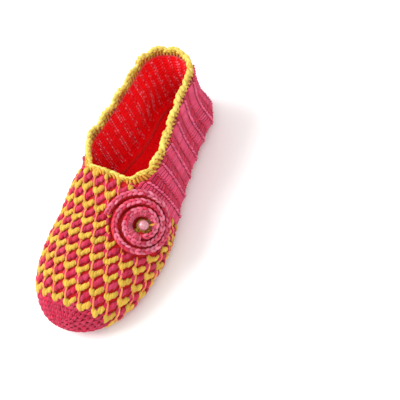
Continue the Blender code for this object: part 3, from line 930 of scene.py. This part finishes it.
def ground_material(name, colour, deep):
    """The fabric behind the stitches: matte, with a fine uneven grain."""
    g = Graph(name, sheen=0.15)
    grain = g.noise(900.0, 3.0)
    share = g.math("MULTIPLY", g.math("ADD", grain, g.noise(120.0)), 0.5)
    return g.finish(g.mix("MIX", share, deep, colour), 0.8, 0.3 * MM, grain)


def pearl_material():
    """A glossy rose pearl with a soft lustre."""
    g = Graph("rose pearl", rough=0.18, coat=0.8, specular=0.6)
    g.inputs["Coat Roughness"].default_value = 0.05
    return g.finish(g.mix("MIX", g.noise(420.0), (0.44, 0.12, 0.17), (0.58, 0.25, 0.29)))


# One pink yarn in two copies set to how much light falls on each part: the first, on the brightly lit top of
# the foot, is darker, painted shade; the second, on the quarters' dimmer outer side, is lighter, painted
# light.
PINK = yarn_material("pink cotton", (0.52, 0.016, 0.055), (0.62, 0.09, 0.18))
PINK_POST_PAINTED_LIGHTER = yarn_material("pink cotton posts", (0.72, 0.018, 0.068), (0.82, 0.15, 0.30), ply=1.2)
YELLOW = yarn_material("yellow cotton", (0.66, 0.46, 0.06), (0.72, 0.28, 0.04))
LEMON = yarn_material("lemon cotton", (0.88, 0.68, 0.16), (0.55, 0.36, 0.02))
# The thin legs' yarn: drawn orange instead of its own yellow and pink, painted light of the red ground
# passing through and reflected onto the thin strands.
PAINTED_LEG_ORANGE = yarn_material("leg cotton, orange from painted light", (0.86, 0.34, 0.10), (0.80, 0.20, 0.05))
OLIVE = yarn_material("olive cotton", (0.30, 0.18, 0.015), (0.74, 0.40, 0.06))
LINING = yarn_material("red lining", (0.96, 0.002, 0.008), (0.96, 0.22, 0.28), sheen=0.0)
ROSETTE_PINK = yarn_material("rosette cotton", (0.62, 0.026, 0.075), (0.80, 0.22, 0.32))
ROSETTE_GROUND = ground_material("rosette ground", (0.80, 0.010, 0.012), (0.55, 0.004, 0.006))
# The edging band's core: dark orange under the lemon loops, painted shade and painted pink reflection low on
# the band and in its holes.
EDGING_GROUND_SHADED = ground_material("yellow ground", (0.62, 0.18, 0.01), (0.36, 0.08, 0.01))
OLIVE_GROUND = ground_material("olive ground", (0.30, 0.16, 0.01), (0.16, 0.07, 0.01))
# The ground seen between the outside stitches: the fabric's own red, made darker than the lining ground as
# painted shade of the gaps.
SHADED_KNIT_GROUND = ground_material("knit ground", (0.62, 0.018, 0.020), (0.40, 0.006, 0.008))
RED_GROUND = ground_material("lining ground", (0.94, 0.002, 0.006), (0.80, 0.001, 0.004))


def make_wall(sheet):
    """The fabric's own wall, with valleys where the stitches stand and a smooth lining."""
    points, normals = sheet.points, sheet.normals
    relief = np.full(len(points), -FORE_GROUND)
    for step, column in enumerate(sheet.columns[len(sheet.fore) :], start=1):
        rise = smooth_step(np.arange(len(column)) / TURN_LEVELS)
        relief[column] = -RIB_GROUND + rib_height(step / RIB_STEPS) * rise
    outside = points + normals * relief[:, None]
    inside = points - normals * WALL
    seam = sheet.seam_rim()
    sink = np.array([0, 0, SEAM_SINK])
    outside[seam] = points[seam] - sink
    inside[seam] = points[seam] - unit(normals[seam] * (1, 1, 0)) * WALL - sink
    count = len(points)
    lining = [tuple(i + count for i in reversed(f)) for f in sheet.faces]
    rims = [
        (a, b, b + count, a + count)
        for rim in (sheet.collar_rim(), seam)
        for a, b in zip(rim, rim[1:] + rim[:1])
    ]
    index = [0] * len(sheet.faces) + [1] * len(lining) + [0] * len(rims)
    # Outside faces take the darker red, painted shade in the gaps between stitches; inside faces take the
    # lining's red.
    mesh = mesh_of("upper_wall", np.vstack([outside, inside]), sheet.faces + lining + rims, SHADED_KNIT_GROUND, RED_GROUND,
                   index=index)
    finished(mesh, "yarn_pink", "upper")


def forefoot_cells(offset):
    """One colour's cells: each row's place and its column's border, in millimetres."""
    start = (PATTERN_START - ROW_PAIR * np.arange(PAIRS) - offset)[:, None]
    border = COLUMN_WIDTH * np.arange(-9, 10) + COLUMN_DRIFT * (start - DRIFT_CENTRE) + COLUMN_START
    return (a.ravel() for a in np.broadcast_arrays(start, border))


def make_forefoot(skin):
    """Two colours of cells, each a cluster of lobes, and the long thin legs between them."""
    stems = Yarn()
    scale = ROW_PAIR / 2 / LOBE_ROW
    pieces = []
    for name, slot, material, offset, leg in (
        ("forefoot_yellow", "yarn_yellow", YELLOW, ROW_PAIR / 2, (-5.8, 3.4, 0.85, 1.15)),
        ("forefoot_pink", "yarn_pink", PINK, ROW_PAIR, (-3.4, 3.4, 0.60, 0.45)),
    ):
        yarn = Yarn()
        start, border = forefoot_cells(offset)
        for across0, down0, across1, down1, radius, lift, bend in LOBES:
            ends = spans(start + down0 * scale, border + across0, start + down1 * scale, border + across1)
            jitter(ends, 0, 0.28)
            jitter(ends, 1, 0.22)
            ends = ends[allowed(skin, ends)] * MM
            size = radius * varied(-0.12, 0.12, len(ends))
            tone = varied(-0.2, 0.14, len(ends))
            yarn.lay(skin, ends, size, lift, bend=bend, full=0.6, tone=tone, warm=(0, 0.45), sides=7)
        up, down, radius, lift = leg
        legs = spans(start + up, border + 0.5, start + down, border + 2.0)
        # The legs are drawn orange: painted red light passing through and reflected onto the thin strands.
        stems.lay(skin, legs[allowed(skin, legs)] * MM, radius, lift, sink=0.6, warm=(0, 1),
                  full=0.3, taper=0.6, rings=9, sides=6)
        pieces.append((yarn, name, slot, material))
    stems.piece("forefoot_legs", "yarn_yellow", PAINTED_LEG_ORANGE)
    for yarn, *names in pieces:
        yarn.piece(*names)


def allowed(skin, ends):
    """Strands that lie between the throat, the cap, the seam and the rosette."""
    u = ends[:, [0, 2]].mean(axis=1) * MM
    v = ends[:, [1, 3]].mean(axis=1) * MM
    x = skin.row(u, v)
    low, high = skin.limits(x)
    place = skin.surface(x, v)
    forward, sideways = ((place - SHIFT) / MM)[:, :2].T
    margin = 1.0 - 2.5 * smooth_step((-v - 30 * MM) / (6 * MM))
    ahead = forward > 7.3 + 0.1 * (sideways + 5) + margin
    centre, _, side, normal = rosette_axes()
    apart = place - (centre + SHIFT - side * 0.5 * ROSETTE_DRIFT)
    flat = apart - normal * (apart @ normal)[:, None]
    free = np.linalg.norm(flat, axis=1) > ROSETTE_RADIUS - 3.5 * MM
    inside = (v - low > 1.0 * MM) & (high - v > 1.0 * MM)
    return inside & ahead & free & (u < (CAP_START + 1.0) * MM)


def make_cap(cap):
    """The toe cap: rounds of small upright stitches, each a V of two short strands."""
    yarn = Yarn()
    rows, pitch = 8, 3.7 * MM
    for row in range(rows):
        low, high = (row + 0.05) / rows, min((row + 1.2) / rows, 1.06)
        ring, _ = cap(np.full(cap.turns.shape, (low + high) / 2), cap.turns)
        around = run_of(ring)
        stitches = max(int(around[-1] / pitch), 6)
        marks = (np.arange(stitches) + 0.5 * (row % 2)) * around[-1] / stitches
        turns = np.interp(marks, around, cap.turns)
        width = 2 * math.pi * 1.6 * MM / max(around[-1], MM)
        base, _ = cap(np.full(stitches, (low + high) / 2), turns)
        turns = turns[base[:, 2] > 7.5 * MM]
        n = len(turns)
        for side in (-1, 1):
            ends = spans(high, turns + side * width * 1.15, low, turns + side * width * 0.25)
            ends[:, [1, 3]] += RANDOM.normal(0, 0.14, (n, 2)) * width
            size = 1.12 * varied(-0.14, 0.14, n)
            tone = varied(-0.22, 0.12, n)
            yarn.lay(cap, ends, size, -0.3, sink=1.7, tone=tone, warm=(0, 0.4), sides=7)
    yarn.piece("toe_cap_stitches", "yarn_pink", PINK)


def make_quarters(quarter):
    """Rows of tall stitches that lie along the collar, with a ridge of loops on each rib."""
    posts, ridges = Yarn(), Yarn()
    pitch = 2.75 * MM
    for rib in range(RIB_COUNT):
        for half, start, stop in ((0, 0.035, 0.43), (1, 0.57, 0.965)):
            start, stop = rib + start, rib + stop
            height = quarter.height(0.5 * (start + stop))
            v = height - (np.arange(int(height / pitch)) + 0.5 * half + 0.25) * pitch
            v = v[v > 1.2 * MM]
            for twin in (-0.495 * MM, 0.495 * MM):
                ends = spans(start, v + twin - 0.5 * MM, stop, v + twin + 0.5 * MM)
                jitter(ends, 1, 0.12 * MM)
                jitter(ends, 0, 0.008)
                # Half 0 of each rib is drawn darker and half 1 lighter and paler: painted shade and painted
                # light on the two slopes of the rib.
                posts.lay(quarter.ribbed, ends, 0.72, 0.05, sink=0.35, warm=(0.3 * half, 0.35 + 0.3 * half),
                          tone=(-0.34 + 0.2 * half, -0.04 + 0.2 * half), full=0.35, taper=0.5, sides=6)
    pitch, lean = 3.1 * MM, 0.028
    # The last number of each line sets how pale its loops are: the loops on the ridges are paler than those
    # in the valleys, a painted highlight on the ridges and painted shade in the valleys.
    lines = [(rib + 0.5 * ridge, 1.0 if ridge else 0.7, 1.0 if ridge else 0.3)
             for rib in range(RIB_COUNT + 1) for ridge in (1, 0) if rib + ridge <= RIB_COUNT]
    for line, size, bright in lines:
        line = min(max(line, 0.03), RIB_COUNT - 0.03)
        v = np.arange(1.4 * MM, quarter.height(line) - 1.8 * MM, pitch)
        n = len(v)
        ends = spans(line - lean, v, line + lean, v + pitch * 0.95)
        jitter(ends, 0, 0.012)
        radius = 1.05 * size * varied(-0.2, 0.2, n)
        ridges.lay(quarter.ribbed, ends, radius, 0.45 * size, tone=varied(-0.2, 0.15, n),
                   warm=(0.6 * bright, bright), sides=7)
    # The quarters take the lighter copy of the pink: painted light for their dimmer side.
    posts.piece("quarter_posts", "yarn_pink", PINK_POST_PAINTED_LIGHTER)
    ridges.piece("quarter_ridges", "yarn_pink", PINK_POST_PAINTED_LIGHTER)


def lining_of(place):
    def inner(u, v):
        point, normal = place(u, v)
        return point - normal * WALL, -normal
    return inner


def make_lining(quarter, skin):
    """Inside of the fabric: the backs of the rows, with lines of small bright loops."""
    inner = lining_of(quarter)
    backs, dots = Yarn(), Yarn()
    pitch = 3.0 * MM
    for line in range(2 * RIB_COUNT):
        half, place = line % 2, 0.5 * line
        start, stop = place + 0.06, place + 0.44
        height = quarter.height(0.5 * (start + stop))
        v = np.arange(2.0 * MM + 0.5 * pitch * half, height - 1.5 * MM, pitch)
        ends = spans(start, v - 0.4 * MM, stop, v + 0.4 * MM)
        jitter(ends, 1, 0.1 * MM)
        backs.lay(inner, ends, 1.0, -0.15, sink=0.6, full=0.35, flat=0.7, rings=6, sides=6)
        if line == 0:
            continue
        for twin in ((-0.10, 0.0, 0.10) if line % 3 == 0 else (-0.06, 0.06)):
            v = np.arange(3.0 * MM + 0.5 * pitch * (twin > 0), height - 2.0 * MM, pitch)
            n = len(v)
            ends = spans(place + twin - 0.012, v, place + twin + 0.012, v + 1.5 * MM)
            size = 0.75 * varied(-0.3, 0.25, n)
            warm = RANDOM.uniform(0.0, 1.0, n) ** 1.5
            dots.lay(inner, ends, size, 0.45, sink=0.2, warm=warm, rings=5, sides=6)
    u, a = (g.ravel() for g in np.meshgrid(np.arange(13, 100, 5.9), np.arange(-58, 60, 5.6), indexing="ij"))
    ends = spans(u, a, u + 4.6, a + 1.4)
    backs.lay(lining_of(skin), ends[allowed(skin, ends)] * MM, 1.5, 0.0, flat=0.7, rings=6, sides=6)
    backs.piece("lining_backs", "yarn_pink", LINING)
    dots.piece("lining_dots", "yarn_pink", LINING)


class EdgeMap:
    """The band on the opening's rim: u is the length round the rim, v the height above it."""

    STEP = 1.0 * MM

    def __init__(self, sheet):
        rim = sheet.collar_rim()
        phases = np.maximum(np.arange(len(rim) + 1) - 2 * TOP_LEVELS, 0) / RIB_STEPS
        points, normals = sheet.points[rim + rim[:1]], sheet.normals[rim + rim[:1]]
        run = run_of(points)
        self.total = run[-1]
        count = int(self.total / self.STEP)
        self.step = self.total / count
        marks = np.arange(count) * self.step
        self.normal = unit(smoothed_ring(unit(along_line(normals, marks, run)), 8))
        self.path = smoothed_ring(along_line(points, marks, run), 3) - self.normal * WALL / 2
        tangent = np.roll(self.path, -2, axis=0) - np.roll(self.path, 2, axis=0)
        self.out = unit(np.cross(unit(smoothed_ring(tangent, 6)), self.normal))
        self.phase = np.interp(marks, run, phases)

    def ring(self, values, u):
        spot = (u / self.step) % len(values)
        low = spot.astype(int) % len(values)
        share = (spot - spot.astype(int))[..., None]
        return values[low] * (1 - share) + values[(low + 1) % len(values)] * share

    def crest(self, u):
        phase = self.phase[((u / self.step).astype(int)) % len(self.phase)]
        shell = np.where(phase > 0, np.abs(np.sin(math.pi * phase)) ** 0.7, 0.0)
        return EDGING_PLAIN - EDGING_SETTLE + 1.2 * EDGING_SCALLOP * shell

    def face(self, side, depth):
        """A face of the band, at this depth from its middle: side is 1 outside and -1 inside."""
        def place(u, v):
            normal = self.ring(self.normal, u)
            point = self.ring(self.path, u) + self.ring(self.out, u) * v[..., None]
            return point + normal * side * depth, normal * side
        return place

    def top(self, u, v):
        """Places on the band's crest: v is the way across it."""
        normal, out = self.ring(self.normal, u), self.ring(self.out, u)
        point = self.ring(self.path, u) + out * (self.crest(u) + GAP)[..., None] + normal * v[..., None]
        return point, out


def make_edging(edge):
    """The yellow band: a plain row along the throat, and a shell of tall stitches on each rib."""
    section = ((-1.0, 0.0), (-1.0, 0.75), (-0.5, 1.0), (0.5, 1.0), (1.0, 0.75), (1.0, 0.0))
    crests = edge.crest(np.arange(len(edge.path)) * edge.step) - 1.0 * MM
    rows = [
        [at + out * (GAP + crest * up) + normal * across * 0.32 * EDGING_THICKNESS for across, up in section]
        for at, out, normal, crest in zip(edge.path, edge.out, edge.normal, crests)
    ]
    # The core is dark orange: painted shade and painted pink reflection low on the band and in its holes.
    finished(strip_mesh("edging_ground", rows, EDGING_GROUND_SHADED, closed=True), "yarn_yellow", "collar_edging")
    yarn, stems = Yarn(), Yarn()
    pitch = 3.4 * MM
    count = int(edge.total / pitch)
    u = np.arange(count) * edge.total / count + RANDOM.normal(0, 0.25 * MM, count)
    u = np.mod(u, edge.total - MM)
    lean = 1.2 * MM * np.cos(math.pi * edge.phase[(u / edge.step).astype(int)])
    for side in (1, -1):
        face = edge.face(side, 0.34 * EDGING_THICKNESS)
        ends = spans(u - 0.4 * pitch, -1.0 * MM, u + 0.3 * pitch + lean, edge.crest(u) - 0.9 * MM)
        # The stems on the band's faces lean to orange: painted shade and painted pink reflection on the
        # band's lower part.
        stems.lay(face, ends, 0.95, 0.35, sink=0.3, swell=0.15, warm=(0.2, 1.0), tone=(-0.25, 0.1))
    pitch = 4.6 * MM
    count = int(edge.total / pitch)
    for side in (1, -1):
        start = np.arange(count) * edge.total / count + (0.5 * pitch if side > 0 else 0.0)
        ends = spans(
            start - 0.35 * pitch, -side * 0.5 * MM + RANDOM.normal(0, 0.3 * MM, count),
            start + 0.85 * pitch, side * 1.5 * MM + RANDOM.normal(0, 0.3 * MM, count),
        )
        size = 1.45 * varied(-0.2, 0.2, count)
        yarn.lay(edge.top, ends, size, -0.35, sink=1.4, warm=RANDOM.uniform(0, 0.8, count) ** 1.6,
                 tone=(-0.12, 0.1))
        level = edge.crest(np.mod(start, edge.total - MM)) - 1.2 * MM
        lower = spans(start - 0.2 * pitch, level - 0.8 * MM, start + 0.7 * pitch, level + 0.2 * MM)
        # The lower loops lean further to olive than the crest's: painted shade low on the band.
        yarn.lay(edge.face(side, 0.42 * EDGING_THICKNESS), lower, 1.05, 0.25, sink=0.6, swell=0.2,
                 warm=(0.2, 1.0), tone=(-0.2, 0.1))
    stems.piece("edging_stems", "yarn_yellow", YELLOW)
    yarn.piece("edging_yarn", "yarn_yellow", LEMON)


def make_rosette(spiral):
    """The strip wound into a spiral: its ground, a braid of loops on top and posts on its sides."""
    section = (
        # across in millimetres, share of the height
        (-3.0, 0.06), (-3.0, 0.30), (-1.4, 0.38), (-1.2, 0.74), (-0.8, 0.86),
        (0.8, 0.86), (1.2, 0.74), (1.4, 0.38), (3.0, 0.30), (3.0, 0.06),
    )
    rows = []
    for share in np.linspace(0, 1, 150):
        floor, top = spiral.floor(share), spiral.top(share)
        widest = 2.25 if share > 1 - 1 / ROSETTE_TURNS else 3.0
        rows.append([
            spiral.raised(spiral.polar(share, min(across, widest) * MM), floor + (top - floor) * up)
            for across, up in section
        ])
    finished(strip_mesh("rosette_ground", rows, ROSETTE_GROUND), "yarn_rosette", "rosette")
    finished(rosette_floor(spiral), "yarn_rosette")
    yarn = Yarn()
    pitch = 4.0 * MM
    length = spiral.run[-1]
    count = int(length / pitch)
    at = (np.arange(count) + 0.4) * length / count
    ahead = spiral.share_of(np.minimum(at + 1.25 * pitch, length))
    here = spiral.share_of(at)
    twice = np.concatenate([here, 0.5 * (here + ahead)])
    tall = np.tile(spiral.top(here) - spiral.floor(here), 2)
    for side in (1, -1):
        ends = spans(here, side * 0.25 * MM, ahead, side * 1.7 * MM)
        jitter(ends, 1, 0.1 * MM)
        yarn.lay(spiral, ends, 1.08, -0.3, sink=2.4, swell=0.14, warm=(0, 1.0), tone=(-0.25, 0.1))
        yarn.lay(spiral.wall(side), spans(twice, 0.4 * MM, twice, tall - 1.2 * MM), 0.7, -0.65, sink=1.0,
                 warm=(0, 0.2), full=0.35, taper=0.6, sides=6)

    def slope(u, v):
        """The first turn's inner side, from its top down towards the eye."""
        radius = ROSETTE_START + (ROSETTE_LAST - ROSETTE_START) * u
        across = -1.5 * MM + v * (0.85 * (EYE_RADIUS + 0.6 * MM - radius) + 1.5 * MM)
        point = spiral.raised(spiral.polar(u, across), spiral.top(u) - (0.3 + 3.2 * v) * MM)
        return point, spiral.normal + 0 * point

    first = spiral.share_of(np.arange(13.0 * MM, 1.05 * spiral.run[spiral.FIRST_TURN], 2.3 * MM))
    yarn.lay(slope, spans(first, 0.0, first + 0.004, 1.0), 1.05, 0.2, sink=1.2, swell=0.1,
             warm=(0, 0.6), tone=(-0.3, 0.05), full=0.4, rings=8)
    yarn.piece("rosette_yarn", "yarn_rosette", ROSETTE_PINK)


def rosette_floor(spiral):
    """The bottom of the rosette's middle: a shallow disc that meets the innermost turn."""
    rounds = 24
    rows = []
    for share in np.arange(rounds) / rounds / ROSETTE_TURNS:
        rim, near = spiral.polar(share, -1.2 * MM), spiral.polar(share, -5.5 * MM)
        rows.append([spiral.raised(rim, spiral.floor(share) + h * MM) for h in (0.2, 2.6)]
                    + [spiral.raised(near, spiral.floor(0.0) + h * MM) for h in (1.2, 0.2)])
    return strip_mesh("rosette_floor", rows, ROSETTE_GROUND, closed=True)


def make_eye(spiral):
    """The yellow disc under the pearl, worked round, and the end of yarn beside the pearl."""
    base = spiral.height_at(0.0, 0.0) + ROSETTE_GAP
    inset = 0.8 * MM

    def disc(u, v):
        point = spiral.raised((u, v), base + EYE_THICKNESS * (1 - 0.35 * (u / EYE_RADIUS) ** 2))
        return point, np.broadcast_to(spiral.normal, point.shape)

    count, rings = 20, (0.35, 0.7, 0.9, 1.0)
    angles = 2 * math.pi * np.arange(count) / count
    rim = 0.92 * EYE_RADIUS
    points = [disc(r * rim, a)[0] - spiral.normal * inset for r in rings for a in angles]
    points += [spiral.raised((rim, a), spiral.height_at(rim, a) + 0.6 * ROSETTE_GAP) for a in angles]
    top, bottom = len(points), len(points) + 1
    points += [disc(0.0, 0.0)[0] - spiral.normal * inset, spiral.centre + spiral.normal * base]
    last = len(rings) * count
    faces = []
    for i in range(count):
        j = (i + 1) % count
        faces.append((top, i, j))
        faces += [(a + i, a + count + i, a + count + j, a + j) for a in range(0, last, count)]
        faces.append((bottom, last + j, last + i))
    finished(mesh_of("eye_ground", points, faces, OLIVE_GROUND), "yarn_yellow", "rosette_eye")
    yarn = Yarn()
    for inner, outer, number, size in ((1.0, 3.2, 9, 0.8), (3.0, 5.0, 14, 0.85)):
        for twist in (-0.192, 0.192):
            angle = 2 * math.pi * (np.arange(number) + 0.25 * inner) / number
            yarn.lay(disc, spans(inner * MM, angle, outer * MM, angle + twist), size, -0.1,
                     warm=(0, 0.6), rings=6, sides=6)
    apron = np.radians(np.arange(-40, 165, 15.0))
    for twist in (-0.08, 0.08):
        yarn.lay(disc, spans(4.9 * MM, apron, 7.6 * MM, apron + twist), 0.95, 0.3, warm=(0, 0.7),
                 tone=(-0.3, 0.2), rings=6, sides=6)

    def above(u, v):
        near = np.minimum(u, EYE_RADIUS)
        point, normal = disc(near, v)
        return point + spiral.plane(u, v) - spiral.plane(near, v) + normal * 4.0 * MM, normal

    bar = np.array([(4.2 * MM, math.radians(108), 11.0 * MM, math.radians(114))])
    yarn.lay(above, bar, 0.85, 0.8, sink=0.6, warm=0.95, full=0.25, taper=0.7, rings=8)
    yarn.piece("eye_yarn", "yarn_yellow", OLIVE)


class SoleMap:
    """The sole: u is the place round its outline, v the share of the way out from the spine."""

    SHARES = np.linspace(0, 1, 25)

    def __init__(self):
        columns = forefoot_columns(HEEL_PIVOT_SHARE, 40, 30) + rounded(heel_column, 16)[::-1]
        grid = []
        for column in columns + columns[:1]:
            edge = turned_under(column, TURN_UNDER - SOLE_MARGIN)
            line = [column[2:] + (edge - column[2:]) * s for s in self.SHARES]
            grid.append([(*p, ground_rise(*p)) for p in line])
        self.grid = np.array(grid) + SHIFT
        self.run = run_of(self.grid[:, -1])

    def at(self, i, share):
        return bilinear(self.grid, i, np.asarray(share * (len(self.SHARES) - 1)))

    def side(self, up):
        def place(u, v):
            point = self.at(np.interp(u, self.run, np.arange(len(self.run))), v)
            normal = np.zeros_like(point)
            normal[..., 2] = 1.0 if up else -1.0
            return point + np.array([0, 0, SOLE_THICKNESS if up else 0.0]), normal
        return place

    def round_length(self, share):
        return run_of(self.grid[:, int(round(share * (len(self.SHARES) - 1)))])[-1]


def make_sole(sole):
    """A crocheted sole in rounds from the middle line out, seen below and inside the slipper."""
    levels = (
        # share of the way out, share of the thickness
        (0.0, 0.25), (0.5, 0.25), (0.94, 0.25), (0.99, 0.45),
        (0.995, 0.8), (0.97, 0.97), (0.90, 0.90), (0.0, 0.8),
    )
    count, size = len(sole.run) - 1, len(levels)
    points = [
        sole.at(np.array(float(i)), share) + np.array([0, 0, SOLE_THICKNESS * up])
        for i in range(count)
        for share, up in levels
    ]
    faces = [(a, d, c, b) for a, b, c, d in grid_faces(count, size, ring=True)]
    index = [1 if k >= 4 else 0 for _ in range(count) for k in range(size - 1)]
    # The underside and rim take the darker red, painted shade between the sole stitches; the top takes the
    # lining's red.
    finished(mesh_of("sole_ground", points, faces, SHADED_KNIT_GROUND, RED_GROUND, index=index), "yarn_pink", "sole")
    rounds, pitch = 9, 4.3 * MM
    for name, up, material in (("sole_stitches", False, PINK), ("insole_stitches", True, LINING)):
        yarn = Yarn()
        for r in range(rounds):
            inner, outer = (r + 0.02) / rounds, min((r + 1.02) / rounds, 0.99)
            number = int(sole.round_length(0.5 * (inner + outer)) / pitch)
            u = (np.arange(number) + 0.5 * (r % 2)) / number * sole.run[-1]
            spread = 0.36 / number * sole.run[-1]
            for side in (-1, 1):
                ends = spans(u + side * spread * 1.1, outer, u + side * spread * 0.2, inner)
                yarn.lay(sole.side(up), ends, 1.15, -0.95, sink=1.8, flat=0.8, rings=6, sides=6)
        yarn.piece(name, "yarn_pink", material)


def make_stage():
    """A plain pale floor, and soft studio light from above and from the inner side."""
    half = 6.0
    g = Graph("pale floor")
    tint = g.math("MULTIPLY", g.noise(3.0), 0.3)
    pale = g.finish(g.mix("MIX", tint, (0.93, 0.93, 0.93), (0.88, 0.88, 0.88)))
    corners = [(-half, -half, 0), (half, -half, 0), (half, half, 0), (-half, half, 0)]
    floor = bpy.data.objects.new("floor", mesh_of("floor", corners, [(0, 1, 2, 3)], pale))
    bpy.context.scene.collection.objects.link(floor)
    world = bpy.data.worlds.new("studio")
    world.use_nodes = True
    studio = world.node_tree.nodes["Background"].inputs
    studio["Color"].default_value = (1.0, 0.99, 0.98, 1.0)
    studio["Strength"].default_value = 0.9
    bpy.context.scene.world = world
    lamps = (
        # name, place, aim, size, power
        ("key", (0.25, -0.80, 0.90), (0.02, 0.0, 0.03), 1.0, 18.0),
        ("fill", (0.5, 0.8, 1.1), (0.0, 0.0, 0.03), 1.2, 6.0),
    )
    for name, place, aim, size, power in lamps:
        light = bpy.data.lights.new(name, "AREA")
        light.size, light.energy = size, power
        lamp = bpy.data.objects.new(name, light)
        lamp.location = place
        lamp.rotation_euler = (Vector(aim) - Vector(place)).to_track_quat("-Z", "Y").to_euler()
        bpy.context.scene.collection.objects.link(lamp)
    bpy.context.scene.view_settings.view_transform = "Standard"


def make_camera():
    camera = bpy.data.cameras.new("camera")
    camera.lens, camera.sensor_width = CAMERA_LENS, CAMERA_SENSOR
    obj = bpy.data.objects.new("camera", camera)
    obj.location = Vector(CAMERA_PLACE) + Vector(SHIFT)
    obj.rotation_euler = CAMERA_TURN
    bpy.context.scene.collection.objects.link(obj)
    bpy.context.scene.camera = obj


def main():
    sheet = Sheet()
    quarter = QuarterMap(sheet)
    skin = ForefootMap()
    make_wall(sheet)
    make_forefoot(skin)
    make_cap(CapMap(CAP_START * MM + SHIFT[0]))
    make_quarters(quarter)
    make_lining(quarter, skin)
    make_edging(EdgeMap(sheet))
    spiral = SpiralMap()
    make_rosette(spiral)
    make_eye(spiral)
    make_sole(SoleMap())
    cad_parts["pearl"].data.materials.clear()
    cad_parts["pearl"].data.materials.append(pearl_material())
    make_stage()
    make_camera()


main()
